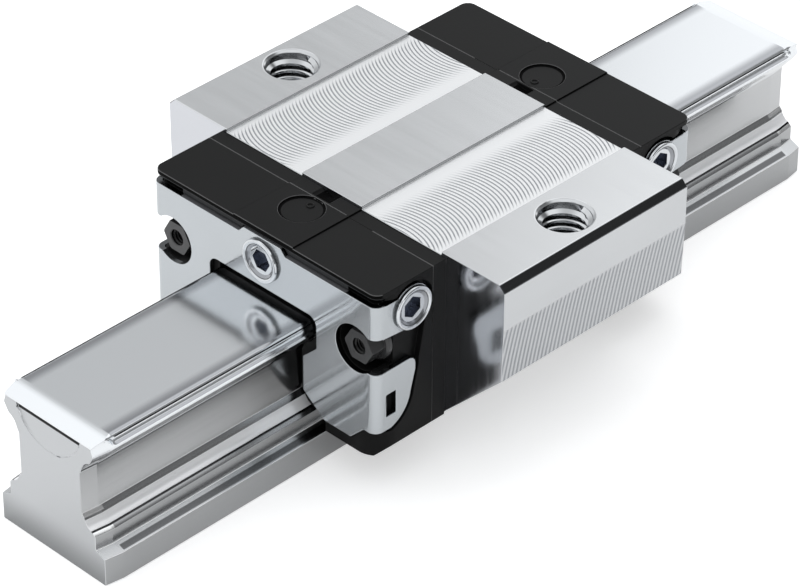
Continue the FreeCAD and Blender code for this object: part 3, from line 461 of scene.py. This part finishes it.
def thread_ridge(name, wall_r, pitch, depth, low, high, steps):
    """The ridge of an internal thread, wound up Z round the origin from low to high."""
    bpy.ops.object.select_all(action="DESELECT")
    bpy.ops.mesh.primitive_plane_add(size=2.0, location=(wall_r, 0, low + pitch / 2),
                                     rotation=(math.pi / 2, 0, 0))
    ridge = bpy.context.active_object
    ridge.name = name
    bpy.ops.object.transform_apply(location=True, rotation=True, scale=True)
    inner_half, outer_half, root = 0.10 * pitch, 0.46 * pitch, 0.05 * pitch
    for vertex in ridge.data.vertices:
        inward = vertex.co.x < wall_r
        rise = inner_half if inward else outer_half
        up = 1 if vertex.co.z > low + pitch / 2 else -1
        vertex.co = (wall_r - depth if inward else wall_r + root, 0, low + pitch / 2 + up * rise)
    wind = ridge.modifiers.new("wind", "SCREW")
    wind.axis = "Z"
    wind.screw_offset = pitch
    wind.iterations = int((high - low) / pitch)
    wind.steps = steps
    wind.render_steps = steps
    bpy.ops.object.modifier_apply(modifier=wind.name)
    bpy.ops.object.mode_set(mode="EDIT")
    bpy.ops.mesh.select_all(action="SELECT")
    bpy.ops.mesh.remove_doubles(threshold=0.001 * MM)
    bpy.ops.mesh.fill_holes(sides=0)
    bpy.ops.mesh.select_all(action="SELECT")
    bpy.ops.mesh.normals_make_consistent(inside=False)
    bpy.ops.object.mode_set(mode="OBJECT")
    bpy.ops.object.shade_smooth_by_angle(angle=math.radians(35))
    return ridge


def copy_of(piece, name, offset=(0, 0, 0)):
    """A copy with a mesh of its own, moved by the offset."""
    twin = bpy.data.objects.new(name, piece.data.copy())
    twin.data.transform(Matrix.Translation(offset))
    bpy.context.scene.collection.objects.link(twin)
    return twin


thread_steel = ground_steel("flange_thread_bright", (0.62, 0.63, 0.64), 0.10, EVERY_WAY, 0.03)
ridge = thread_ridge("flange_thread_left", THREAD_R, THREAD_PITCH, THREAD_DEPTH, THREAD_LOW,
                     THREAD_HIGH, 48)
ridge.data.transform(Matrix.Translation((0, THREAD_Y, 0)))
ridge.data.materials.append(thread_steel)
for thread in (ridge, copy_of(ridge, "flange_thread_right", (0, -2 * THREAD_Y, 0))):
    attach(thread, "runner_block")


# The track inserts: hardened bars with two ground ball tracks each, pressed into the body.
INSERT_EDGE = 0.08 * MM
insert_steel = ground_steel("track_insert_ground", (0.58, 0.59, 0.60), 0.12, ALONG_X)
for side in ("left", "right"):
    insert = dressed_copy("track_insert_" + side, "track_bar_" + side, INSERT_EDGE, "runner_block")
    paint(insert, {"ground": insert_steel}, lambda centre, normal: "ground")


# The ball circuits: four endless rows of 20 polished bearing balls. Each ball is a smooth sphere
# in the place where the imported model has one.
BALL_R = 2.381 * MM
ball_steel = ground_steel("ball_polished", (0.70, 0.71, 0.72), 0.05, EVERY_WAY, 0.02, 0.0002 * MM)


def parts_of(node):
    """The middles of a CAD node's separate solids."""
    copy = bpy.data.objects.new(node + "_places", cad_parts[node].data.copy())
    bpy.context.scene.collection.objects.link(copy)
    select_only(copy)
    bpy.ops.object.mode_set(mode="EDIT")
    bpy.ops.mesh.select_all(action="SELECT")
    bpy.ops.mesh.remove_doubles(threshold=0.002 * MM)
    bpy.ops.mesh.separate(type="LOOSE")
    bpy.ops.object.mode_set(mode="OBJECT")
    middles = []
    for part in list(bpy.context.selected_objects):
        points = [vertex.co for vertex in part.data.vertices]
        low = Vector(min(p[axis] for p in points) for axis in range(3))
        high = Vector(max(p[axis] for p in points) for axis in range(3))
        middles.append((low + high) / 2)
        bpy.data.objects.remove(part)
    return middles


def join_all(pieces, name):
    """Joins the pieces into the first of them."""
    select_only(pieces[0])
    for piece in pieces:
        piece.select_set(True)
    bpy.ops.object.join()
    pieces[0].name = name
    return pieces[0]


for row in ("upper", "lower"):
    for side in ("left", "right"):
        node = "ball_circuit_" + row + "_" + side
        balls = []
        for place in parts_of(node):
            bpy.ops.mesh.primitive_ico_sphere_add(subdivisions=3, radius=BALL_R, location=place)
            bpy.ops.object.transform_apply(location=True, rotation=True, scale=True)
            bpy.ops.object.shade_smooth()
            balls.append(bpy.context.active_object)
        balls = join_all(balls, "balls_" + row + "_" + side)
        balls.data.materials.append(ball_steel)
        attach(balls, "runner_block")
        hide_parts(node)


# The plastic pieces inside the block: retainer rails beside the balls and tubes in the return
# bores, moulded in dark grey acetal with a fine satin skin.
RETAINER_EDGE = 0.08 * MM


def moulded_plastic(name, colour, roughness, grain=0.004 * MM, shine=0.22):
    """Satin moulded plastic with a fine spark-eroded grain."""
    material = bpy.data.materials.new(name)
    material.use_nodes = True
    tree = material.node_tree
    plastic = tree.nodes["Principled BSDF"]
    plastic.inputs["Specular IOR Level"].default_value = shine
    place = tree.nodes.new("ShaderNodeTexCoord")
    skin = tree.nodes.new("ShaderNodeTexNoise")
    skin.inputs["Scale"].default_value = 2600.0
    skin.inputs["Detail"].default_value = 2.0
    cloud = tree.nodes.new("ShaderNodeTexNoise")
    cloud.inputs["Scale"].default_value = 60.0
    gloss = tree.nodes.new("ShaderNodeMapRange")
    gloss.inputs["To Min"].default_value = roughness - 0.06
    gloss.inputs["To Max"].default_value = roughness + 0.06
    tint = tree.nodes.new("ShaderNodeMix")
    tint.data_type = "RGBA"
    tint.inputs["A"].default_value = tuple(0.9 * c for c in colour) + (1.0,)
    tint.inputs["B"].default_value = tuple(1.1 * c for c in colour) + (1.0,)
    relief = tree.nodes.new("ShaderNodeBump")
    relief.inputs["Distance"].default_value = grain
    link(tree, place, "Object", skin, "Vector")
    link(tree, place, "Object", cloud, "Vector")
    link(tree, cloud, "Fac", gloss, "Value")
    link(tree, gloss, "Result", plastic, "Roughness")
    link(tree, cloud, "Fac", tint, "Factor")
    link(tree, tint, "Result", plastic, "Base Color")
    link(tree, skin, "Fac", relief, "Height")
    link(tree, relief, "Normal", plastic, "Normal")
    return material


retainer_plastic = moulded_plastic("retainer_satin", (0.060, 0.060, 0.062), 0.45)
for kind in ("upper_retainer", "middle_retainer", "lower_retainer", "return_tube_upper",
             "return_tube_lower"):
    for side in ("left", "right"):
        bar = dressed_copy(kind + "_" + side, kind.replace("retainer", "guard") + "_piece_" + side,
                           RETAINER_EDGE, "runner_block")
        paint(bar, {"satin": retainer_plastic}, lambda centre, normal: "satin")


# The seals: black nitrile rubber. Two long strips lie under the block against the rail foot,
# and a plate at each end follows the rail's outline behind the end plate.
SEAL_EDGE = 0.10 * MM
seal_rubber = moulded_plastic("seal_rubber_black", (0.010, 0.010, 0.010), 0.55, 0.002 * MM)
for node, name in (("side_seal_left", "long_seal_left"), ("side_seal_right", "long_seal_right"),
                   ("end_seal_front", "wiper_front"), ("end_seal_rear", "wiper_rear")):
    seal = dressed_copy(node, name, SEAL_EDGE, "runner_block")
    paint(seal, {"rubber": seal_rubber}, lambda centre, normal: "rubber")


# The end caps and return guides: black glass-filled plastic with a fine grain. The cap has an
# overhanging lip along its front and a shallow round recess for a top port, and the thin guide
# behind it shows as a slice with its own parting line.
CAP_EDGE = 0.09 * MM
SEAM_X = 21.9
BODY_END_X = 19.3
SEAM_HALF = 0.12
LIP_LOW = 34.5
LIP_FRONT_X = 33.2
CAP_SIDE_Y = 23.4
DIMPLE_X = 25.35
DIMPLE_R = 3.5
DIMPLE_FLOOR = 35.2
PIP_X = 23.65
# The caps' painted shade and painted highlights are placed by the heights and widths below.
STEP_Y = 6.2
# Where the painted highlight on the parting line breaks off.
SEAM_BREAK = (5.7, 11.0)
SEAM_BREAK_LOW = 35
LIP_LINE = 34.67
PAD_LOW = 33.2
TROUGH_HEIGHTS = (15, 35.1)
TROUGH_HALF = 9
cap_plastic = moulded_plastic("end_cap_black", (0.006, 0.006, 0.006), 0.32, shine=0.14)
# The same black plastic with less shine, as painted shade on the upright sides.
side_shaded_plastic = moulded_plastic("end_cap_side_painted_shade", (0.007, 0.007, 0.007), 0.32, shine=0.09)
# Near black: painted shade on the caps.
shade_plastic = moulded_plastic("end_cap_painted_shade", (0.003, 0.003, 0.003), 0.50, shine=0.02)
# Grey painted light for the shaded faces under the lip.
gutter_painted_light_plastic = moulded_plastic("end_cap_gutter_painted_light", (0.021, 0.022, 0.0235), 0.40)
# Lighter grey: painted highlight on the round recess's rim.
rim_highlight_plastic = moulded_plastic("end_cap_rim_painted_highlight", (0.075, 0.075, 0.075), 0.40)
# Light grey: painted highlights on parting lines and the lip's edges.
seam_highlight_plastic = moulded_plastic("parting_line_painted_highlight", (0.10, 0.10, 0.10), 0.45)


def split_moulding(piece):
    """Divides long faces where the painted shade and painted highlights change, and insets the floor of
    the round recess for a ring of painted shade.
    """
    select_only(piece)
    bpy.ops.object.mode_set(mode="EDIT")
    planes = [((0, 0, LIP_LINE), (0, 0, 1))]
    planes += [((0, side * y, 0), (0, 1, 0)) for y in SEAM_BREAK for side in (-1, 1)]
    for place, normal in planes:
        bpy.ops.mesh.select_all(action="SELECT")
        bpy.ops.mesh.bisect(plane_co=Vector(place) * MM, plane_no=normal)
    bpy.ops.mesh.select_mode(type="FACE")
    bpy.ops.mesh.select_all(action="DESELECT")
    bpy.ops.object.mode_set(mode="OBJECT")
    for face in piece.data.polygons:
        centre = face.center / MM
        in_dimple = math.hypot(abs(centre.x) - DIMPLE_X, centre.y) < DIMPLE_R
        face.select = in_dimple and face.normal.z > 0.99 and abs(centre.z - DIMPLE_FLOOR) < 0.02
    bpy.ops.object.mode_set(mode="EDIT")
    bpy.ops.mesh.inset(thickness=0.42 * MM)
    bpy.ops.mesh.select_mode(type="VERT")
    bpy.ops.object.mode_set(mode="OBJECT")


def moulding_finish(centre, normal):
    """Parting lines and edges get painted highlights, hollows, steps, the trough and the lip's edge get
    painted shade, and the faces under the lip a grey painted light.
    """
    along = abs(centre.x)
    out = abs(centre.y)
    on_edge = max(abs(normal.x), abs(normal.y), abs(normal.z)) < 0.97
    in_dimple = math.hypot(along - DIMPLE_X, centre.y)
    # Painted highlights on the parting lines.
    if on_edge and abs(along - SEAM_X) < SEAM_HALF:
        broken = SEAM_BREAK[0] < out < SEAM_BREAK[1] and centre.x * centre.y > 0
        return "black" if broken and centre.z > SEAM_BREAK_LOW else "seam"
    if on_edge and out > CAP_SIDE_Y - 0.2 and abs(along - BODY_END_X) < SEAM_HALF:
        return "seam"
    # Painted shade on the recess's wall and a ring round its floor, and a painted highlight on its rim.
    if in_dimple < DIMPLE_R + 0.12 and centre.z > DIMPLE_FLOOR - 0.1 and in_dimple > DIMPLE_R - 0.45:
        return "rim" if normal.z > 0.3 and centre.z > DIMPLE_FLOOR + 0.15 else "shade"
    # On the lip: painted highlights on its edges, painted shade on its front above the line, grey painted
    # light below.
    if along > LIP_FRONT_X - 1.2 and centre.z > LIP_LOW + 0.05:
        if 0.3 < normal.z < 0.95:
            return "seam"
        return "black" if normal.z > 0.9 else "shade" if centre.z > LIP_LINE else "band"
    # Painted shade on the step and in the trough.
    if abs(out - STEP_Y) < 0.2 and centre.z > DIMPLE_FLOOR and normal.z < 0.97:
        return "shade"
    in_trough = TROUGH_HEIGHTS[0] < centre.z < TROUGH_HEIGHTS[1] and out < TROUGH_HALF
    if in_trough and along < DIMPLE_X and normal.z > 0.7:
        return "shade"
    # Grey painted light on the faces under the lip.
    if PAD_LOW < centre.z < LIP_LOW and along > LIP_FRONT_X - 0.5 and abs(normal.x) > 0.9:
        return "band"
    # Upright faces take the less shiny copy as painted shade.
    return "side" if abs(normal.z) < 0.5 else "black"


for end, way in (("front", -1), ("rear", 1)):
    cap = dressed_copy("end_cap_" + end, "cover_cap_" + end, CAP_EDGE, "runner_block",
                       split_moulding)
    guide = dressed_copy("return_guide_" + end, "turn_guide_" + end, CAP_EDGE, "runner_block",
                         split_moulding)
    for piece in (cap, guide):
        paint(piece, {"black": cap_plastic, "side": side_shaded_plastic, "shade": shade_plastic,
                      "band": gutter_painted_light_plastic, "rim": rim_highlight_plastic, "seam": seam_highlight_plastic}, moulding_finish)
    bpy.ops.object.select_all(action="DESELECT")
    bpy.ops.mesh.primitive_torus_add(major_radius=0.52 * MM, minor_radius=0.16 * MM, major_segments=32,
                                     minor_segments=10, location=(way * PIP_X * MM, 0, DIMPLE_FLOOR * MM))
    pip = bpy.context.active_object
    pip.name = "port_pip_" + end
    bpy.ops.object.transform_apply(location=True, rotation=True, scale=True)
    bpy.ops.object.shade_smooth()
    pip.data.materials.append(cap_plastic)
    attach(pip, "runner_block")


# The end plates: stainless sheet, 1 mm thick, stamped, folded round the cap's corners and
# tumbled to a satin finish.
PLATE_EDGE = 0.12 * MM
PLATE_TOP = 33.3
PLATE_PAD_Y = 17.2
PLATE_BEND_X = 32.0
PLATE_BEND_Y = 21.9
plate_steel = ground_steel("end_plate_satin", (0.555, 0.58, 0.60), 0.115, EVERY_WAY, 0.03, metal=0.78)
# Grey and not metallic: painted light on the plate's top edge in the shade under the cap's pad.
pad_edge_painted_light_steel = ground_steel("end_plate_edge_painted_light", (0.10, 0.102, 0.108), 0.5, EVERY_WAY, metal=0.0)
edge_steel = ground_steel("end_plate_sheared_edge", (0.16, 0.165, 0.17), 0.2, EVERY_WAY)


def split_plate_top(piece):
    """Divides the plate's top edge where the cap's pad ends above it, so that the part under the pad can
    take painted light.
    """
    select_only(piece)
    bpy.ops.object.mode_set(mode="EDIT")
    bpy.ops.mesh.select_mode(type="FACE")
    for side in (-1, 1):
        bpy.ops.mesh.select_all(action="DESELECT")
        bpy.ops.object.mode_set(mode="OBJECT")
        for face in piece.data.polygons:
            face.select = face.normal.z > 0.9 and face.center.z > (PLATE_TOP - 0.1) * MM
        bpy.ops.object.mode_set(mode="EDIT")
        bpy.ops.mesh.bisect(plane_co=(0, side * PLATE_PAD_Y * MM, 0), plane_no=(0, 1, 0))
    bpy.ops.mesh.select_mode(type="VERT")
    bpy.ops.object.mode_set(mode="OBJECT")


def plate_finish(centre, normal):
    """Satin on the outer faces and round the bends, dark on the sheared edges of the sheet, and grey
    painted light on the top edge under the cap's pad.
    """
    if normal.z > 0.9 and centre.z > PLATE_TOP - 0.1:
        return "lip" if abs(centre.y) < PLATE_PAD_Y else "edge"
    outward = Vector((math.copysign(max(abs(centre.x) - PLATE_BEND_X, 0), centre.x),
                      math.copysign(max(abs(centre.y) - PLATE_BEND_Y, 0), centre.y), 0))
    return "satin" if outward.length == 0 or normal.dot(outward.normalized()) > 0.3 else "edge"


for end in ("front", "rear"):
    plate = dressed_copy("end_plate_" + end, "folded_plate_" + end, PLATE_EDGE, "runner_block",
                         split_plate_top)
    paint(plate, {"satin": plate_steel, "lip": pad_edge_painted_light_steel, "edge": edge_steel}, plate_finish)


# The cap screws: black hexagon screws with a flange, two at each end, that hold cap and plate
# to the body. Each is bored and threaded M3 so that an add-on can be screwed to it.
SCREW_Y = 19.15 * MM
SCREW_Z = 24.5 * MM
SCREW_FACE_X = 32.75 * MM
HEX_LENGTH = 2.6 * MM
HEX_AF = 5.0 * MM
FLANGE_R = 3.4 * MM
FLANGE_T = 1.1 * MM
SHANK_R = 1.5 * MM
SHANK_END_X = 10.3 * MM
BORE_R = 1.25 * MM
BORE_DEPTH = 3.2 * MM
BORE_CHAMFER = 0.16 * MM


def turned(name, outline, sides=64):
    """A solid turned about Z: the outline is (radius, height) from the axis outwards and back."""
    bpy.ops.object.select_all(action="DESELECT")
    first_r, first_z = outline[0]
    bpy.ops.mesh.primitive_circle_add(vertices=sides, radius=first_r, location=(0, 0, first_z),
                                      fill_type="NGON")
    piece = bpy.context.active_object
    piece.name = name
    bpy.ops.object.transform_apply(location=True, rotation=True, scale=True)
    bpy.ops.object.mode_set(mode="EDIT")
    bpy.ops.mesh.select_all(action="SELECT")
    for (radius, height), (next_r, next_z) in zip(outline, outline[1:]):
        bpy.ops.mesh.extrude_region_move(TRANSFORM_OT_translate={"value": (0, 0, next_z - height)})
        ratio = next_r / radius
        bpy.ops.transform.resize(value=(ratio, ratio, 1), center_override=(0, 0, next_z))
    bpy.ops.mesh.select_all(action="SELECT")
    bpy.ops.mesh.normals_make_consistent(inside=False)
    bpy.ops.object.mode_set(mode="OBJECT")
    return piece


def carve(piece, tool, operation="DIFFERENCE"):
    """Cuts the tool out of the piece, or unites them, and removes the tool."""
    select_only(piece)
    cut = piece.modifiers.new("cut", "BOOLEAN")
    cut.operation = operation
    cut.solver = "EXACT"
    cut.object = tool
    bpy.ops.object.modifier_apply(modifier=cut.name)
    bpy.data.objects.remove(tool)


def hexagon_bar(across_flats, low, high):
    """A hexagon bar along Z between two heights, with a corner on the Y axis."""
    bpy.ops.object.select_all(action="DESELECT")
    bpy.ops.mesh.primitive_cylinder_add(vertices=6, radius=across_flats / math.sqrt(3), depth=high - low,
                                        location=(0, 0, (low + high) / 2))
    bpy.ops.object.transform_apply(location=True, rotation=True, scale=True)
    return bpy.context.active_object


def stand(piece, place, axis, upright):
    """Turns a piece made along Z so that Z becomes axis and X becomes upright, and puts it in place."""
    along, first = Vector(axis), Vector(upright)
    second = along.cross(first)
    turn = Matrix((first, second, along)).transposed().to_4x4()
    piece.data.transform(Matrix.Translation(place) @ turn)


screw_steel = moulded_plastic("screw_black_oxide", (0.046, 0.046, 0.047), 0.22, 0.001 * MM, shine=0.5)
head_z = SCREW_FACE_X - HEX_LENGTH
corner_r = HEX_AF / math.sqrt(3)
screw = hexagon_bar(HEX_AF, head_z - 0.2 * MM, SCREW_FACE_X)
screw.name = "cap_screw_master"
crown = turned("crown", [
    (corner_r * 1.02, head_z - 1 * MM), (corner_r * 1.02, SCREW_FACE_X - 0.16 * MM),
    (corner_r * 0.95, SCREW_FACE_X + 0.02 * MM)])
carve(screw, crown, "INTERSECT")
flange = turned("flange", [
    (SHANK_R, SHANK_END_X), (SHANK_R, head_z - FLANGE_T), (FLANGE_R - 0.2 * MM, head_z - FLANGE_T),
    (FLANGE_R, head_z - FLANGE_T + 0.2 * MM), (FLANGE_R, head_z - 0.35 * MM),
    (FLANGE_R - 0.35 * MM, head_z)])
carve(screw, flange, "UNION")
bore = turned("bore", [
    (BORE_R, SCREW_FACE_X - BORE_DEPTH), (BORE_R, SCREW_FACE_X - BORE_CHAMFER),
    (BORE_R + 0.18 * MM, SCREW_FACE_X + 0.02 * MM)])
carve(screw, bore)
round_edges(screw, 0.06 * MM)
ridge = thread_ridge("m3_ridge", BORE_R, 0.5 * MM, 0.20 * MM, SCREW_FACE_X - BORE_DEPTH + 0.1 * MM,
                     SCREW_FACE_X - 0.20 * MM, 24)
screw = join_all([screw, ridge], "cap_screw_master")
# Near black: painted shade in the screw's bore.
bore_painted_shade = moulded_plastic("screw_bore_painted_shade", (0.004, 0.004, 0.004), 0.22, shine=0.3)


def screw_finish(centre, normal):
    """The bore carries painted shade inside its chamfer."""
    in_bore = math.hypot(centre.x, centre.y) * MM < BORE_R + 0.17 * MM
    return "bore" if in_bore and centre.z * MM < SCREW_FACE_X - 0.12 * MM else "oxide"


paint(screw, {"oxide": screw_steel, "bore": bore_painted_shade}, screw_finish)
for end, way in (("front", -1), ("rear", 1)):
    pair = []
    for side in (-1, 1):
        one = copy_of(screw, "cap_screw_" + end)
        stand(one, (0, side * SCREW_Y, SCREW_Z), (way, 0, 0), (0, 0, 1))
        pair.append(one)
    pair = join_all(pair, "hex_screws_" + end)
    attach(pair, "runner_block")
    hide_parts("cap_screws_" + end)
bpy.data.objects.remove(screw)


# The port plugs: bright zinc-plated screws with a hexagon socket that close the lube ports, one
# in each end plate and one on each side of both caps. A raised ring runs round the dished head.
PORT_Z = 30.4 * MM
PLATE_FACE_X = 33.5 * MM
PLATE_SIDE_Y = 23.4 * MM
SIDE_PORT_X = 26.2 * MM
PLUG_R = 3.55 * MM
PLUG_RISE = 0.7 * MM
DISH_R = 2.7 * MM
DISH_FLOOR = 0.15 * MM
SOCKET_AF = 3.15 * MM
SOCKET_DEPTH = 2.2 * MM
SHANK_LENGTH = 5.0 * MM
plug_steel = ground_steel("plug_bright_zinc", (0.70, 0.72, 0.74), 0.05, EVERY_WAY, 0.02)
plug = turned("plug_master", [
    (2.2 * MM, -SHANK_LENGTH), (2.5 * MM, -SHANK_LENGTH + 0.3 * MM), (2.5 * MM, 0), (PLUG_R - 0.1 * MM, 0),
    (PLUG_R, 0.15 * MM), (PLUG_R, PLUG_RISE - 0.32 * MM), (PLUG_R - 0.09 * MM, PLUG_RISE - 0.10 * MM),
    (PLUG_R - 0.30 * MM, PLUG_RISE), (PLUG_R - 0.52 * MM, PLUG_RISE - 0.05 * MM),
    (PLUG_R - 0.68 * MM, PLUG_RISE - 0.18 * MM), (DISH_R + 0.02 * MM, PLUG_RISE - 0.22 * MM),
    (DISH_R - 0.25 * MM, DISH_FLOOR + 0.12 * MM), (DISH_R - 0.42 * MM, DISH_FLOOR),
    (0.2 * MM, DISH_FLOOR)])
carve(plug, hexagon_bar(SOCKET_AF, DISH_FLOOR - SOCKET_DEPTH, PLUG_RISE))
round_edges(plug, 0.05 * MM, 2, 25)


def plug_finish(centre, normal):
    """Painted shade in the socket, in the groove between the raised ring and the dish and on the ring's
    outer wall, and a painted dark reflection on the dish's wall.
    """
    from_axis = math.hypot(centre.x, centre.y) * MM
    if centre.z * MM < DISH_FLOOR - 0.1 * MM and from_axis < SOCKET_AF * 0.62 and normal.z > -0.5:
        return "socket"
    # Painted shade in the groove and on the ring's outer wall.
    if DISH_R - 0.02 * MM < from_axis < DISH_R + 0.2 * MM and centre.z > 0.3:
        return "groove"
    if from_axis > PLUG_R - 0.12 * MM and centre.z * MM < PLUG_RISE - 0.32 * MM:
        return "groove"
    # Painted dark reflection on the dish's wall.
    return "wall" if DISH_R - 0.43 * MM < from_axis < DISH_R and centre.z > 0.1 else "plated"


paint(plug, {
    "plated": plug_steel,
    # Painted shade in the socket.
    "socket": ground_steel("plug_socket_painted_shade", (0.32, 0.34, 0.39), 0.25, EVERY_WAY),
    # Painted shade in the groove and on the ring's outer wall.
    "groove": ground_steel("plug_groove_painted_shade", (0.12, 0.125, 0.13), 0.15, EVERY_WAY),
    # Painted dark reflection on the dish's wall.
    "wall": ground_steel("plug_dish_wall_painted_reflection", (0.34, 0.35, 0.37), 0.08, EVERY_WAY, 0.02),
}, plug_finish)
for end, way in (("front", -1), ("rear", 1)):
    face_plug = copy_of(plug, "port_plug_" + end)
    stand(face_plug, (way * PLATE_FACE_X, 0, PORT_Z), (way, 0, 0), (0, 0, 1))
    pair = []
    for side in (-1, 1):
        one = copy_of(plug, "side_plug_" + end)
        stand(one, (way * SIDE_PORT_X, side * PLATE_SIDE_Y, PORT_Z), (0, side, 0), (1, 0, 0))
        pair.append(one)
    pair = join_all(pair, "port_plugs_side_" + end)
    for piece, node in ((face_plug, "lube_plug_" + end), (pair, "side_lube_plugs_" + end)):
        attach(piece, "runner_block")
        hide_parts(node)
bpy.data.objects.remove(plug)


# The studio: a white table, a pale sky with a soft box to the rear right, lights overhead and
# behind the camera, and a dark side to the right that gives the polished steel its dark lines.
TABLE_HALF = 4.0
TABLE_Z = -0.02 * MM
MIRRORED_GLOW = 0.20
SEEN_GLOW = 0.50
SOFT_BOX_LEVEL = 1.12
OVERHEAD_LEVEL = 1.15
BEHIND_LEVEL = 1.14
FRONT_LEVELS = (0.56, 1.05)
DARK_SIDE_DEPTH = 0.62
LIGHT_LINE_LIFT = 0.4
ZENITH_DIP = 0.35
bpy.ops.object.select_all(action="DESELECT")
bpy.ops.mesh.primitive_plane_add(size=2 * TABLE_HALF, location=(0, 0, TABLE_Z))
table = bpy.context.active_object
table.name = "studio_table"
white = bpy.data.materials.new("studio_white")
white.use_nodes = True
tree = white.node_tree
paper = tree.nodes["Principled BSDF"]
paper.inputs["Base Color"].default_value = (0.80, 0.80, 0.80, 1.0)
paper.inputs["Roughness"].default_value = 0.9
paper.inputs["Specular IOR Level"].default_value = 0.0
ray = tree.nodes.new("ShaderNodeLightPath")
mirrored = calc(tree, "MAXIMUM", (ray, "Is Transmission Ray"), (ray, "Is Glossy Ray"))
glow = calc(tree, "ADD", calc(tree, "MULTIPLY", mirrored, MIRRORED_GLOW),
            calc(tree, "MULTIPLY", (ray, "Is Camera Ray"), SEEN_GLOW))
paper.inputs["Emission Color"].default_value = (1.0, 1.0, 1.0, 1.0)
tree.links.new(glow[0].outputs[glow[1]], paper.inputs["Emission Strength"])
table.data.materials.append(white)

world = bpy.data.worlds.new("studio_sky")
bpy.context.scene.world = world
world.use_nodes = True
tree = world.node_tree
sky = tree.nodes["Background"]
direction = tree.nodes.new("ShaderNodeTexCoord")
axes = tree.nodes.new("ShaderNodeSeparateXYZ")
link(tree, direction, "Generated", axes, "Vector")
height = calc(tree, "MULTIPLY", calc(tree, "ARCSINE", (axes, "Z")), 180 / math.pi)
bearing = calc(tree, "MULTIPLY", calc(tree, "ARCTAN2", (axes, "Y"), (axes, "X")), 180 / math.pi)
overhead = between(tree, height, 38.0, 50.0, 0.0, 1.0)
soft_box = window(tree, bearing, -14.0, 2.0, 39.0, 49.5)
dark_side = window(tree, bearing, -110.0, -95.0, -14.0, 2.0)
light_line = window(tree, height, 17.0, 19.0, 22.0, 24.0)
front_left = between(tree, bearing, 75.0, 100.0, *FRONT_LEVELS)
behind = calc(tree, "MULTIPLY", window(tree, bearing, -165.0, -155.0, -122.0, -112.0),
              between(tree, height, 12.0, 20.0, 0.0, BEHIND_LEVEL))
shade = calc(tree, "SUBTRACT", DARK_SIDE_DEPTH, calc(tree, "MULTIPLY", light_line, LIGHT_LINE_LIFT))
shade = calc(tree, "SUBTRACT", 1.0, calc(tree, "MULTIPLY", dark_side, shade))
level = calc(tree, "MAXIMUM", calc(tree, "MULTIPLY", front_left, shade), behind)
level = calc(tree, "MAXIMUM", level, calc(tree, "MULTIPLY", soft_box, SOFT_BOX_LEVEL))
level = calc(tree, "MAXIMUM", level, calc(tree, "MULTIPLY", overhead, OVERHEAD_LEVEL))
ray = tree.nodes.new("ShaderNodeLightPath")
zenith = calc(tree, "MULTIPLY", between(tree, height, 62.0, 80.0, 0.0, ZENITH_DIP), (ray, "Is Glossy Ray"))
level = calc(tree, "MULTIPLY", level, calc(tree, "SUBTRACT", 1.0, zenith))
level = calc(tree, "MAXIMUM", level, (ray, "Is Camera Ray"))
tree.links.new(level[0].outputs[level[1]], sky.inputs["Strength"])
sky.inputs["Color"].default_value = (0.97, 0.985, 1.0, 1.0)


def soft_lamp(name, place, size, power):
    """A round lamp that shines at the middle of the scene and isn't mirrored."""
    lamp = bpy.data.lights.new(name, "AREA")
    lamp.shape = "DISK"
    lamp.size = size
    lamp.energy = power
    holder = bpy.data.objects.new(name, lamp)
    holder.location = place
    holder.rotation_euler = (-Vector(place)).to_track_quat("-Z", "Y").to_euler()
    holder.visible_glossy = False
    bpy.context.scene.collection.objects.link(holder)


soft_lamp("lamp_overhead", (0.25, 0.15, 0.9), 0.7, 1.2)
soft_lamp("lamp_left", (-0.5, 0.6, 0.6), 0.5, 0.6)


# The camera: a long lens from the front right and above, as the photograph was taken.
IMAGE_WIDTH = 800
FOCAL_PIXELS = 4266.29
AZIMUTH = math.radians(-45.201)
ELEVATION = math.radians(35.525)
ROLL = math.radians(0.291)
TARGET = Vector((-4.657, 0.419, 9.784)) * MM
DISTANCE = 645.412 * MM
back = Vector((math.sin(AZIMUTH) * math.cos(ELEVATION), -math.cos(AZIMUTH) * math.cos(ELEVATION),
               math.sin(ELEVATION)))
right = Vector((math.cos(AZIMUTH), math.sin(AZIMUTH), 0))
up = back.cross(right)
rolled_right = right * math.cos(ROLL) + up * math.sin(ROLL)
rolled_up = up * math.cos(ROLL) - right * math.sin(ROLL)
lens = bpy.data.cameras.new("photo_camera")
lens.sensor_width = 36.0
lens.sensor_fit = "HORIZONTAL"
lens.lens = FOCAL_PIXELS * lens.sensor_width / IMAGE_WIDTH
lens.clip_start = 0.01
lens.clip_end = 20.0
camera = bpy.data.objects.new("photo_camera", lens)
camera.matrix_world = Matrix.Translation(TARGET + back * DISTANCE) @ Matrix(
    (rolled_right, rolled_up, back)).transposed().to_4x4()
bpy.context.scene.collection.objects.link(camera)
bpy.context.scene.camera = camera
bpy.context.scene.view_settings.view_transform = "Standard"
